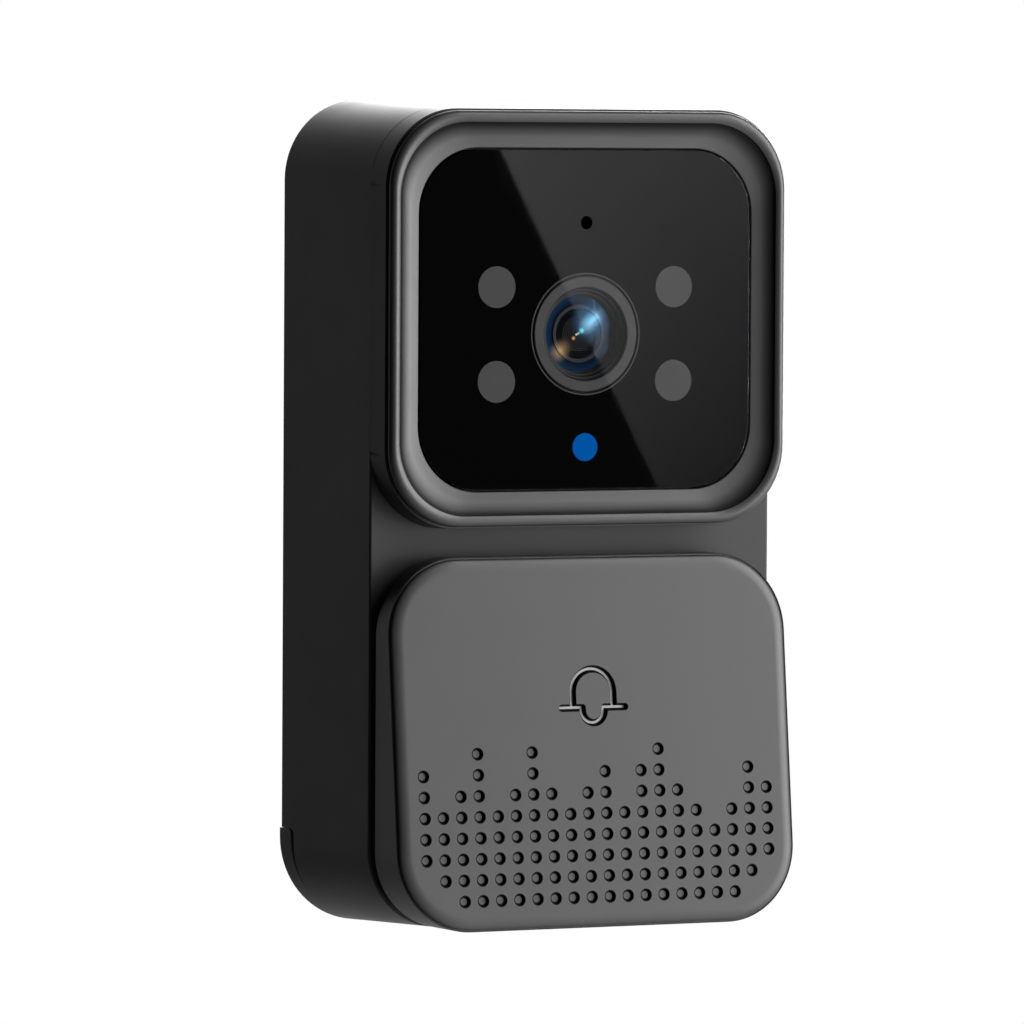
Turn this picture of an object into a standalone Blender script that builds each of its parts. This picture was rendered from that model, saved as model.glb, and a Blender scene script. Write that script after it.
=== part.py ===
"""Video doorbell: a slim wall unit with a camera window above a large sloping push plate.

Frame: metres, X to the right, Y into the wall (so the front faces -Y) and Z up.
The origin is on the wall, at the middle of the wall bracket's flat back.
"""

import math

import bmesh
import bpy
from mathutils import Matrix, Vector

MM = 0.001
GAP = 0.3 * MM  # clearance between neighbouring pieces
BITE = 0.5 * MM  # how far a joined shape reaches into its neighbour
FAR = 70.0 * MM  # how far a cutter may run past the object
SLIVER = 0.02 * MM  # offset that keeps two joined or cut faces from lying in one plane

# ---- Driving dimensions: outer shape ----------------------------------------------------
NECK_Y = -19.5 * MM  # flat front of the body, between camera module and push plate
BODY_HALF_X = 23.0 * MM  # at the neck plane
BODY_HALF_Z = 41.8 * MM
BODY_DRAFT = 0.72 * MM  # how much each side widens from the neck plane to the wall
CORNER_RADIUS = 8.0 * MM
CORNER_STEPS = 6

MODULE_HALF_X = 22.87 * MM  # camera module, at its front edge
MODULE_LOW_Z = -1.0 * MM
MODULE_HIGH_Z = 41.69 * MM
MODULE_EDGE_Y = -23.07 * MM

BEZEL_CREST_Y = MODULE_EDGE_Y - 0.45 * MM
BEZEL_LIP_BACK_Y = MODULE_EDGE_Y + 0.27 * MM  # where the bezel's rim meets the shell
BEZEL_EDGE = 0.2 * MM  # steps of the bezel's section, counted in from its outline
BEZEL_CREST = 1.28 * MM
BEZEL_FLANGE = 1.75 * MM
BEZEL_COVE_END = 2.45 * MM
GLASS_HALF_X = 19.13 * MM
GLASS_LOW_Z = 2.68 * MM
GLASS_HIGH_Z = 37.7 * MM
GLASS_RADIUS = 6.7 * MM
GLASS_Y = -22.55 * MM
GLASS_THICKNESS = 1.0 * MM

PLATE_HALF_X = 22.82 * MM  # push plate
PLATE_LOW_Z = -41.8 * MM
PLATE_HIGH_Z = -3.93 * MM
PLATE_TOP_Y = -23.17 * MM
PLATE_BOTTOM_Y = -27.03 * MM
PLATE_SLOPE = (PLATE_TOP_Y - PLATE_BOTTOM_Y) / (PLATE_HIGH_Z - PLATE_LOW_Z)
SKIRT_BACK_Y = -20.53 * MM
SKIRT_WALL = 1.4 * MM
FACE_WALL = 1.0 * MM
COLLAR_FRONT_Y = -21.1 * MM  # ring on the shell that guides the push plate's skirt
COLLAR_CLEARANCE = 0.4 * MM
COLLAR_WALL = 1.2 * MM

# ---- Driving dimensions: details on the faces ---------------------------------------------
LENS_Z = 18.7 * MM
IR_X = 10.19 * MM
IR_RISE = 4.82 * MM
STATUS_Z = 7.13 * MM
MIC_Z = 30.07 * MM

HOLE_PITCH_X = 2.074 * MM
HOLE_PITCH_Z = 2.121 * MM
HOLE_TOP_Z = -23.82 * MM
HOLE_RADIUS = 0.66 * MM
HOLE_SIDES = 6
# First and last row of holes in each column, left to right: the outline of an equaliser.
HOLE_COLUMNS = (
    (2, 6), (4, 7), (3, 8), (1, 8), (4, 8), (3, 8), (1, 8), (3, 8), (4, 8), (3, 8),
    (2, 8), (4, 8), (2, 8), (1, 8), (3, 8), (4, 8), (5, 8), (4, 8), (2, 7), (3, 6),
)  # fmt: skip

BELL_Z = -17.9 * MM  # centre of the bell's dome
BELL_DOME_RADIUS = 2.55 * MM
BELL_BASE_Z = -19.42 * MM
BELL_HALF_BASE = 3.75 * MM
CLAPPER_RADIUS = 1.55 * MM
GROOVE_RADIUS = 0.27 * MM
GROOVE_DEPTH = 0.4 * MM

# ---- Driving dimensions: walls and layers from the wall to the front ---------------------
FRONT_WALL_BACK_Y = NECK_Y + 1.6 * MM
CAVITY_HALF_X = 21.0 * MM
CAVITY_HALF_Z = 39.8 * MM
CAVITY_RADIUS = 6.0 * MM
REBATE_HALF_X = 22.3 * MM
REBATE_HALF_Z = 41.1 * MM
REBATE_RADIUS = 6.9 * MM
REBATE_Y = -5.2 * MM
RIM_Y = -0.3 * MM

BRACKET_Y = -2.2 * MM
COVER_BACK_Y = BRACKET_Y - GAP
COVER_FRONT_Y = -4.0 * MM
SEAL_BACK_Y = -4.3 * MM
SEAL_FRONT_Y = -4.9 * MM
BATTERY_BACK_Y = -4.5 * MM
BATTERY_FRONT_Y = -9.9 * MM
BOARD_BACK_Y = -10.3 * MM
BOARD_FRONT_Y = -11.3 * MM
PART_Y = BOARD_FRONT_Y - GAP  # parts on the front of the main board start here

SEAT_Y = -20.7 * MM  # ledge in the camera module that carries the window
MODULE_WALL_BACK_Y = -19.3 * MM
OPENING_HALF_X = 16.7 * MM
OPENING_LOW_Z = 5.3 * MM
OPENING_HIGH_Z = 35.3 * MM
OPENING_RADIUS = 3.0 * MM

MASK_FRONT_Y = GLASS_Y + GLASS_THICKNESS + GAP
MASK_BACK_Y = MASK_FRONT_Y + 0.8 * MM
IR_RADIUS = 2.12 * MM
RING_RADIUS = 6.1 * MM
STATUS_RADIUS = 1.43 * MM
IR_BOARD_FRONT_Y = -18.6 * MM
IR_BOARD_BACK_Y = -17.6 * MM

HOLDER_HALF = 6.5 * MM
LIGHT_HOLE_RADIUS = 2.8 * MM
FILTER_HALF = 3.3 * MM
FILTER_FRONT_Y = -15.4 * MM
FILTER_TRAVEL = LIGHT_HOLE_RADIUS + FILTER_HALF + GAP  # clears the light hole at night
POCKET_HALF_Z = 4.3 * MM
SENSOR_HALF = 3.6 * MM
SENSOR_FRONT_Y = -14.8 * MM
CAMERA_BOARD_HALF = 9.0 * MM
CAMERA_BOARD_FRONT_Y = -13.9 * MM

# ---- Driving dimensions: bracket, foot, hooks and lock screw ------------------------------
FOOT_TOP_Z = -32.75 * MM
FOOT_Y = -2.7 * MM
FOOT_PROUD = 0.15 * MM
FOOT_RIM_HALF_X = 22.4 * MM
TONGUE_HALF_X = 5.0 * MM
TONGUE_FRONT_Y = -9.4 * MM
TONGUE_LOW_Z = -42.3 * MM
TONGUE_HIGH_Z = -41.2 * MM
LOCK_Y = -7.2 * MM
LOCK_BOSS_RADIUS = 2.2 * MM
LIFT_TRAVEL = 5.0 * MM
WALL_HOLE_Z = 24.0 * MM  # countersunk holes for two wall screws, above and below the middle
WALL_HOLE_RADIUS = 2.1 * MM
WALL_SINK_RADIUS = 3.9 * MM

HOOK_X = 9.5 * MM
HOOK_HALF_X = 2.6 * MM
HOOK_BASES_Z = (31.0 * MM, -31.0 * MM)
HOOK_STEM = 2.0 * MM
HOOK_HEIGHT = 5.6 * MM
HOOK_FRONT_Y = -5.6 * MM
HOOK_LIP_Y = -4.4 * MM
POCKET_HALF_X = 3.0 * MM
POCKET_WALL = 0.9 * MM
POCKET_FRONT_Y = -6.0 * MM

# ---- Driving dimensions: service port in the bottom ---------------------------------------
PORT_Y = -13.1 * MM
PORT_HALF_X = 5.2 * MM
PORT_HALF_Y = 2.0 * MM
FLAP_LEFT_X = -7.0 * MM
FLAP_RIGHT_X = 11.0 * MM
FLAP_FRONT_Y = -16.3 * MM
FLAP_BACK_Y = -10.9 * MM
FLAP_LOW_Z = -42.0 * MM
FLAP_HIGH_Z = -41.1 * MM
FLAP_HINGE = Vector((-6.5 * MM, PORT_Y, -41.5 * MM))
RESET_X = 7.2 * MM
RESET_COLLAR_Z = -38.9 * MM  # top of the reset button's collar
RESET_TRAVEL = 0.3 * MM

# ---- Fixings --------------------------------------------------------------------------------
COVER_SCREW_X = 17.0 * MM
COVER_SCREW_Z = 35.8 * MM
BOARD_SCREW_PLACES = (
    (-9.0 * MM, 37.8 * MM),
    (9.0 * MM, 37.8 * MM),
    (-11.8 * MM, -35.8 * MM),
    (11.8 * MM, -35.8 * MM),
)
SHANK_RADIUS = 0.8 * MM
SCREW_HOLE_RADIUS = 1.1 * MM
SCREW_HEAD_RADIUS = 1.8 * MM
COVER_BOSS_RADIUS = 2.4 * MM
BOARD_POST_RADIUS = 1.9 * MM
GUIDE_POST_PLACES = ((-17.0 * MM, -9.0 * MM), (17.0 * MM, -9.0 * MM),
                     (-17.0 * MM, -20.5 * MM), (17.0 * MM, -20.5 * MM))  # fmt: skip
GUIDE_POST_RADIUS = 1.5 * MM
GUIDE_BARB_RADIUS = 2.1 * MM
ACTUATOR_RADIUS = 1.8 * MM
SWITCH_Z = -13.0 * MM
SPEAKER_Z = -27.5 * MM
SPEAKER_OPENING_RADIUS = 8.0 * MM

# ---- Finishes: base colour, roughness, metallic --------------------------------------------
FINISHES = {
    "casing": ((0.020, 0.020, 0.021), 0.48, 0.0),
    "bezel": ((0.045, 0.045, 0.047), 0.36, 0.0),
    "push plate": ((0.050, 0.050, 0.051), 0.52, 0.0),
    "bracket": ((0.018, 0.018, 0.019), 0.55, 0.0),
    "window": ((0.010, 0.010, 0.012), 0.04, 0.0),
    "mask": ((0.004, 0.004, 0.004), 0.60, 0.0),
    "infrared window": ((0.120, 0.120, 0.122), 0.40, 0.0),
    "lens metal": ((0.070, 0.070, 0.072), 0.30, 0.6),
    "lens glass": ((0.030, 0.080, 0.160), 0.02, 0.0),
    "filter glass": ((0.250, 0.080, 0.090), 0.05, 0.0),
    "sensor": ((0.060, 0.070, 0.090), 0.25, 0.3),
    "inner plastic": ((0.030, 0.030, 0.032), 0.55, 0.0),
    "status": ((0.000, 0.100, 0.420), 0.30, 0.0),
    "board": ((0.010, 0.085, 0.035), 0.45, 0.0),
    "light source": ((0.800, 0.780, 0.650), 0.35, 0.0),
    "steel": ((0.560, 0.560, 0.570), 0.30, 1.0),
    "rubber": ((0.022, 0.022, 0.022), 0.80, 0.0),
    "paper": ((0.040, 0.036, 0.032), 0.75, 0.0),
    "magnet": ((0.300, 0.300, 0.310), 0.35, 1.0),
    "battery wrap": ((0.420, 0.440, 0.460), 0.35, 0.5),
    "red lead": ((0.450, 0.015, 0.012), 0.45, 0.0),
    "black lead": ((0.015, 0.015, 0.015), 0.45, 0.0),
    "white plug": ((0.700, 0.690, 0.640), 0.45, 0.0),
    "copper film": ((0.550, 0.250, 0.080), 0.35, 0.8),
    "mesh": ((0.040, 0.040, 0.041), 0.85, 0.0),
}


# ---- Collections, objects and materials ----------------------------------------------------
def new_collection(name):
    collection = bpy.data.collections.new(name)
    bpy.context.scene.collection.children.link(collection)
    return collection


for old_object in list(bpy.data.objects):
    bpy.data.objects.remove(old_object, do_unlink=True)
PARTS = new_collection("video_doorbell")
CUTTERS = new_collection("cutters")


def finish(piece, look):
    """Make an object a real sub-part: its own material, in the parts collection."""
    colour, roughness, metallic = FINISHES[look]
    material = bpy.data.materials.new(piece.name)
    material.use_nodes = True
    shader = material.node_tree.nodes["Principled BSDF"]
    shader.inputs["Base Color"].default_value = (*colour, 1.0)
    shader.inputs["Roughness"].default_value = roughness
    shader.inputs["Metallic"].default_value = metallic
    material.diffuse_color = (*colour, 1.0)
    piece.data.materials.clear()
    piece.data.materials.append(material)
    CUTTERS.objects.unlink(piece)
    PARTS.objects.link(piece)
    piece.hide_render = False
    piece.display_type = "TEXTURED"
    return piece


def tool_object(name, mesh):
    """A new object; it counts as a cutter until finish() makes it a sub-part."""
    tool = bpy.data.objects.new(name, mesh)
    tool.hide_render = True
    tool.display_type = "WIRE"
    CUTTERS.objects.link(tool)
    return tool


def from_bmesh(name, shape):
    bmesh.ops.recalc_face_normals(shape, faces=shape.faces)
    mesh = bpy.data.meshes.new(name)
    shape.to_mesh(mesh)
    shape.free()
    return tool_object(name, mesh)


# ---- Shapes ----------------------------------------------------------------------------------
def block(name, low, high, radius=0.0, steps=CORNER_STEPS, widen=0.0):
    """A box between two corners, with its four edges along Y rounded.

    widen is the draft: how much each side of the back end stands further out.
    """
    low, high = Vector(low), Vector(high)
    size, middle = high - low, (high + low) / 2
    shape = bmesh.new()
    bmesh.ops.create_cube(shape, size=1.0)
    bmesh.ops.scale(shape, vec=size, verts=shape.verts)
    if radius:
        along_y = [e for e in shape.edges if abs(e.verts[0].co.y - e.verts[1].co.y) > size.y / 2]
        bmesh.ops.bevel(
            shape, geom=along_y, offset=radius, segments=steps, profile=0.5, affect="EDGES"
        )
    if widen:
        back = [vertex for vertex in shape.verts if vertex.co.y > 0]
        stretch = (1 + 2 * widen / size.x, 1.0, 1 + 2 * widen / size.z)
        bmesh.ops.scale(shape, vec=stretch, verts=back)
    bmesh.ops.translate(shape, vec=middle, verts=shape.verts)
    return from_bmesh(name, shape)


def rod(name, start, end, radius, sides=16):
    """A cylinder between two points on one row axis."""
    start, end = Vector(start), Vector(end)
    span = end - start
    turn = Vector((0, 0, 1)).rotation_difference(span).to_matrix().to_4x4()
    shape = bmesh.new()
    bmesh.ops.create_cone(
        shape, cap_ends=True, segments=sides, radius1=radius, radius2=radius,
        depth=span.length, matrix=Matrix.Translation((start + end) / 2) @ turn,
    )  # fmt: skip
    return from_bmesh(name, shape)


def rod_y(name, place, front_y, back_y, radius, sides=16):
    x, z = place
    return rod(name, (x, back_y, z), (x, front_y, z), radius, sides)


def turned(name, profile, place, sides=20, upright=False):
    """A turned piece: (radius, y) points from the front, down the outer side, to the back.

    It turns about the line through (x, z) along Y. With upright it turns about the line
    through (x, y) along Z instead, and the profile is (radius, z) from the top down.
    """
    shape = bmesh.new()
    sign = 1.0 if upright else -1.0
    corners = [shape.verts.new((radius, 0.0, sign * height)) for radius, height in profile]
    on_axis = profile[0][0] == 0.0 and profile[-1][0] == 0.0
    pairs = list(zip(corners, corners[1:]))
    if not on_axis:
        pairs.append((corners[-1], corners[0]))
    for pair in pairs:
        shape.edges.new(pair)
    mesh = bpy.data.meshes.new(name)
    shape.to_mesh(mesh)
    shape.free()
    piece = tool_object(name, mesh)
    if upright:
        piece.location = (place[0], place[1], 0.0)
    else:
        piece.location = (place[0], 0.0, place[1])
        piece.rotation_euler = (math.pi / 2, 0.0, 0.0)
    screw = piece.modifiers.new("turn", "SCREW")
    screw.axis = "Z"
    screw.steps = sides
    screw.render_steps = sides
    screw.use_merge_vertices = True
    screw.merge_threshold = 0.001 * MM
    screw.use_smooth_shade = True
    return piece


def rounded_rectangle(half_x, low_z, high_z, radius, steps=CORNER_STEPS, middle_x=0.0):
    """Corner arcs of a rounded rectangle, as (x, z) points in turn."""
    middle_z = (low_z + high_z) / 2
    half_z = (high_z - low_z) / 2
    points = []
    for quarter in range(4):
        side_x = 1 if quarter in (0, 3) else -1
        side_z = 1 if quarter in (0, 1) else -1
        for step in range(steps + 1):
            angle = (quarter + step / steps) * math.pi / 2
            x = middle_x + side_x * (half_x - radius) + radius * math.cos(angle)
            z = middle_z + side_z * (half_z - radius) + radius * math.sin(angle)
            points.append((x, z))
    return points


def circle(place, radius, sides=16):
    x, z = place
    turn = 2 * math.pi / sides
    return [
        (x + radius * math.cos(turn * step), z + radius * math.sin(turn * step))
        for step in range(sides)
    ]


def plate(name, outlines, front_y, back_y):
    """A flat piece cut to outlines of (x, z) points: the outer one, then its holes."""
    curve = bpy.data.curves.new(name, "CURVE")
    curve.dimensions = "2D"
    curve.fill_mode = "BOTH"
    curve.extrude = (back_y - front_y) / 2
    for outline in outlines:
        spline = curve.splines.new("POLY")
        spline.points.add(len(outline) - 1)
        for point, (x, z) in zip(spline.points, outline):
            point.co = (x, z, 0.0, 1.0)
        spline.use_cyclic_u = True
    guide = tool_object(name + "_outline", curve)
    guide.location.y = (front_y + back_y) / 2
    guide.rotation_euler.x = math.pi / 2
    return mesh_from_curve(name, guide)


def mesh_from_curve(name, guide):
    """Turn a curve object into a mesh object with its caps welded on."""
    bpy.context.view_layer.update()
    evaluated = guide.evaluated_get(bpy.context.evaluated_depsgraph_get())
    mesh = bpy.data.meshes.new_from_object(evaluated)
    shape = bmesh.new()
    shape.from_mesh(mesh)
    bmesh.ops.remove_doubles(shape, verts=shape.verts, dist=0.001 * MM)
    bpy.data.meshes.remove(mesh)
    piece = from_bmesh(name, shape)
    piece.matrix_world = guide.matrix_world.copy()
    bpy.data.objects.remove(guide, do_unlink=True)
    return piece


def smooth_route(route, samples):
    """Points along a Catmull-Rom curve through a lead's route."""
    points = [Vector(point) * MM for point in route]
    padded = [2 * points[0] - points[1], *points, 2 * points[-1] - points[-2]]
    line = []
    for index in range(1, len(padded) - 2):
        before, start, end, after = padded[index - 1 : index + 3]
        for sample in range(samples):
            t = sample / samples
            line.append(
                0.5 * (2 * start + (end - before) * t
                       + (2 * before - 5 * start + 4 * end - after) * t**2
                       + (3 * start - before - 3 * end + after) * t**3)
            )  # fmt: skip
    line.append(points[-1])
    return line


def lead(name, route, radius, samples=4):
    """A round wire along a route of (x, y, z) points in millimetres."""
    curve = bpy.data.curves.new(name, "CURVE")
    curve.dimensions = "3D"
    curve.bevel_depth = radius
    curve.bevel_resolution = 1
    curve.use_fill_caps = True
    line = smooth_route(route, samples)
    spline = curve.splines.new("POLY")
    spline.points.add(len(line) - 1)
    for point, place in zip(spline.points, line):
        point.co = (*place, 1.0)
    return mesh_from_curve(name, tool_object(name + "_line", curve))


def loft(name, sections):
    """A ring swept through rounded rectangles: (points, y) sections in a closed circuit."""
    shape = bmesh.new()
    loops = [[shape.verts.new((x, y, z)) for x, z in points] for points, y in sections]
    for index, loop in enumerate(loops):
        following = loops[(index + 1) % len(loops)]
        for step in range(len(loop)):
            after = (step + 1) % len(loop)
            shape.faces.new((loop[step], loop[after], following[after], following[step]))
    return from_bmesh(name, shape)


def combine(target, tool, operation):
    change = target.modifiers.new(tool.name, "BOOLEAN")
    change.operation = operation
    change.solver = "EXACT"
    change.object = tool


def join(target, *tools):
    for tool in tools:
        combine(target, tool, "UNION")


def cut(target, *tools):
    for tool in tools:
        combine(target, tool, "DIFFERENCE")


def carried_by(name, place, pieces):
    """An empty on a joint's axis, which carries that joint's pieces."""
    empty = bpy.data.objects.new(name, None)
    empty.location = place
    empty.empty_display_size = 5 * MM
    PARTS.objects.link(empty)
    for piece in pieces:
        piece.parent = empty
        piece.matrix_parent_inverse = Matrix.Translation(place).inverted()


def cover_screw_places():
    return [
        (side * COVER_SCREW_X, end * COVER_SCREW_Z) for end in (1, -1) for side in (-1, 1)
    ]


def hook_places():
    return [(side * HOOK_X, base) for base in HOOK_BASES_Z for side in (-1, 1)]


def face_y(z):
    """Y of the push plate's sloping face at height z."""
    return PLATE_BOTTOM_Y + PLATE_SLOPE * (z - PLATE_LOW_Z)


def draft_at(y):
    """How far the body's sides have widened at y, counted from the neck plane."""
    return BODY_DRAFT * (y - NECK_Y) / (RIM_Y - NECK_Y)


# ---- Wall bracket and its lock screw --------------------------------------------------------
def make_wall_bracket():
    half_x = REBATE_HALF_X - 0.4 * MM
    half_z = REBATE_HALF_Z - 0.4 * MM
    bracket = block(
        "wall_bracket", (-half_x, BRACKET_Y, -half_z), (half_x, 0, half_z),
        REBATE_RADIUS - 0.4 * MM,
    )  # fmt: skip
    proud = draft_at(FOOT_Y) + FOOT_PROUD
    foot_half_x = BODY_HALF_X + proud
    foot_half_z = BODY_HALF_Z + proud
    foot = block(
        "foot_block", (-foot_half_x, FOOT_Y, -foot_half_z), (foot_half_x, 0, foot_half_z),
        CORNER_RADIUS, widen=draft_at(0) - draft_at(FOOT_Y),
    )  # fmt: skip
    above = block("foot_above", (-FAR, -FAR, FOOT_TOP_Z), (FAR, FAR, FAR))
    inner_z = FOOT_RIM_HALF_X + foot_half_z - foot_half_x
    hollow = block(
        "foot_hollow", (-FOOT_RIM_HALF_X, -FAR, -inner_z),
        (FOOT_RIM_HALF_X, BRACKET_Y, inner_z), REBATE_RADIUS,
    )  # fmt: skip
    cut(foot, above, hollow)
    join(bracket, foot)
    tongue = block(
        "tongue", (-TONGUE_HALF_X, TONGUE_FRONT_Y, TONGUE_LOW_Z),
        (TONGUE_HALF_X, -1.0 * MM, TONGUE_HIGH_Z),
    )  # fmt: skip
    join(bracket, tongue)
    lip_half_x = HOOK_HALF_X - SLIVER
    for number, (x, base) in enumerate(hook_places(), 1):
        stem = block(
            f"hook_stem_{number}", (x - HOOK_HALF_X, HOOK_FRONT_Y, base),
            (x + HOOK_HALF_X, -1.0 * MM, base + HOOK_STEM),
        )  # fmt: skip
        lip = block(
            f"hook_lip_{number}", (x - lip_half_x, HOOK_FRONT_Y + SLIVER, base + 1.0 * MM),
            (x + lip_half_x, HOOK_LIP_Y, base + HOOK_HEIGHT),
        )  # fmt: skip
        join(stem, lip)
        join(bracket, stem)
    countersink = [
        (WALL_SINK_RADIUS, -3.0 * MM), (WALL_SINK_RADIUS, BRACKET_Y),
        (WALL_HOLE_RADIUS, -0.7 * MM), (WALL_HOLE_RADIUS, 1.0 * MM),
    ]  # fmt: skip
    for number, z in enumerate((WALL_HOLE_Z, -WALL_HOLE_Z), 1):
        cut(bracket, turned(f"wall_screw_hole_{number}", closed_on_axis(countersink), (0, z), 16))
    lock_hole = [(1.1 * MM, -40.5 * MM), (1.1 * MM, -41.35 * MM), (2.1 * MM, -42.32 * MM),
                 (2.1 * MM, -43.0 * MM)]  # fmt: skip
    cut(bracket, turned("lock_hole", closed_on_axis(lock_hole), (0.0, LOCK_Y), 16, True))
    return finish(bracket, "bracket")


def closed_on_axis(side):
    """Close an outer side, given from its front or top end, with two flat ends."""
    return [(0.0, side[0][1]), *side, (0.0, side[-1][1])]


def make_lock_screw():
    side = [
        (SHANK_RADIUS, -36.3 * MM), (SHANK_RADIUS, -41.1 * MM),
        (SCREW_HEAD_RADIUS, -42.1 * MM), (SCREW_HEAD_RADIUS, -42.25 * MM),
        (0.6 * MM, -42.25 * MM), (0.6 * MM, -41.6 * MM),
    ]  # fmt: skip
    screw = turned("lock_screw", closed_on_axis(side), (0.0, LOCK_Y), 12, True)
    return finish(screw, "steel")


# ---- Front shell ------------------------------------------------------------------------------
def make_front_shell():
    shell = block(
        "front_shell", (-BODY_HALF_X, NECK_Y, -BODY_HALF_Z), (BODY_HALF_X, RIM_Y, BODY_HALF_Z),
        CORNER_RADIUS, widen=BODY_DRAFT,
    )  # fmt: skip
    module = block(
        "camera_module", (-MODULE_HALF_X, BEZEL_LIP_BACK_Y + GAP, MODULE_LOW_Z),
        (MODULE_HALF_X, NECK_Y + BITE, MODULE_HIGH_Z), CORNER_RADIUS,
        widen=BODY_HALF_X - MODULE_HALF_X - SLIVER,
    )  # fmt: skip
    clearance = SKIRT_WALL + COLLAR_CLEARANCE
    outer = rounded_rectangle(
        PLATE_HALF_X - clearance, PLATE_LOW_Z + clearance, PLATE_HIGH_Z - clearance,
        CORNER_RADIUS - clearance,
    )  # fmt: skip
    inset = clearance + COLLAR_WALL
    inner = rounded_rectangle(
        PLATE_HALF_X - inset, PLATE_LOW_Z + inset, PLATE_HIGH_Z - inset, CORNER_RADIUS - inset
    )
    collar = plate("guide_collar", [outer, inner], COLLAR_FRONT_Y, NECK_Y + BITE)
    join(shell, module, collar)

    cavity = block(
        "cavity", (-CAVITY_HALF_X, FRONT_WALL_BACK_Y, -CAVITY_HALF_Z),
        (CAVITY_HALF_X, FAR, CAVITY_HALF_Z), CAVITY_RADIUS,
    )  # fmt: skip
    module_cavity = block(
        "module_cavity", (-CAVITY_HALF_X + SLIVER, MODULE_WALL_BACK_Y, 1.0 * MM),
        (CAVITY_HALF_X - SLIVER, FRONT_WALL_BACK_Y + BITE, CAVITY_HALF_Z - SLIVER),
        CAVITY_RADIUS,
    )  # fmt: skip
    seat_inset = 1.4 * MM
    seat = block(
        "window_seat", (-MODULE_HALF_X + seat_inset, -FAR, MODULE_LOW_Z + seat_inset),
        (MODULE_HALF_X - seat_inset, SEAT_Y, MODULE_HIGH_Z - seat_inset),
        CORNER_RADIUS - seat_inset,
    )  # fmt: skip
    opening = block(
        "window_opening", (-OPENING_HALF_X, -FAR, OPENING_LOW_Z),
        (OPENING_HALF_X, FRONT_WALL_BACK_Y, OPENING_HIGH_Z), OPENING_RADIUS, 3,
    )  # fmt: skip
    cut(shell, cavity, module_cavity, seat, opening)

    for kind, places, back_y, radius, hole_front_y in (
        ("cover_boss", cover_screw_places(), SEAL_BACK_Y, COVER_BOSS_RADIUS, -12.0 * MM),
        ("board_post", BOARD_SCREW_PLACES, PART_Y, BOARD_POST_RADIUS, -16.5 * MM),
    ):
        for number, place in enumerate(places, 1):
            wall_y = MODULE_WALL_BACK_Y if place[1] > 0 else FRONT_WALL_BACK_Y
            join(shell, rod_y(f"{kind}_{number}", place, wall_y - BITE, back_y, radius, 12))
            hole = rod_y(f"{kind}_hole_{number}", place, hole_front_y, 0, SCREW_HOLE_RADIUS, 8)
            cut(shell, hole)
    boss_low, boss_high = (0, LOCK_Y, -40.5 * MM), (0, LOCK_Y, -35.0 * MM)
    join(shell, rod("lock_boss", boss_low, boss_high, LOCK_BOSS_RADIUS, 12))

    rebate = block(
        "cover_rebate", (-REBATE_HALF_X, REBATE_Y, -REBATE_HALF_Z),
        (REBATE_HALF_X, FAR, REBATE_HALF_Z), REBATE_RADIUS,
    )  # fmt: skip
    rebate_boss_free = block(
        "rebate_boss_free", (-3 * MM, REBATE_Y + 0.5 * MM, -39.9 * MM), (3 * MM, 0, -34 * MM)
    )
    foot_relief = block(
        "foot_relief", (-FAR, FOOT_Y - GAP, -FAR), (FAR, FAR, FOOT_TOP_Z + GAP)
    )
    notch = block(
        "tongue_notch", (-TONGUE_HALF_X - GAP, TONGUE_FRONT_Y - GAP, -FAR),
        (TONGUE_HALF_X + GAP, FAR, TONGUE_HIGH_Z + GAP),
    )  # fmt: skip
    lock_hole = rod(
        "lock_boss_hole", (0, LOCK_Y, -45 * MM), (0, LOCK_Y, -35.8 * MM), SCREW_HOLE_RADIUS, 8
    )
    cut(shell, rebate, rebate_boss_free, foot_relief, notch, lock_hole)

    wall_span = (COLLAR_FRONT_Y - MM, FRONT_WALL_BACK_Y + MM)
    for number, place in enumerate(GUIDE_POST_PLACES, 1):
        radius = GUIDE_POST_RADIUS + GAP
        cut(shell, rod_y(f"guide_hole_{number}", place, *wall_span, radius, 12))
    radius = ACTUATOR_RADIUS + BITE
    cut(shell, rod_y("actuator_hole", (0, SWITCH_Z), *wall_span, radius, 12))
    cut(shell, rod_y("speaker_opening", (0, SPEAKER_Z), *wall_span, SPEAKER_OPENING_RADIUS, 20))

    flap_recess = block(
        "flap_recess", (FLAP_LEFT_X - GAP, FLAP_FRONT_Y - GAP, -FAR),
        (FLAP_RIGHT_X + GAP, FLAP_BACK_Y + GAP, FLAP_HIGH_Z + GAP),
    )  # fmt: skip
    port_opening = block(
        "port_opening", (-PORT_HALF_X, PORT_Y - PORT_HALF_Y, -FAR),
        (PORT_HALF_X, PORT_Y + PORT_HALF_Y, -38.0 * MM),
    )  # fmt: skip
    reset_hole = rod(
        "reset_hole", (RESET_X, PORT_Y, -FAR), (RESET_X, PORT_Y, -38.0 * MM), 1.1 * MM, 12
    )
    cut(shell, flap_recess, port_opening, reset_hole)
    return finish(shell, "casing")


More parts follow.
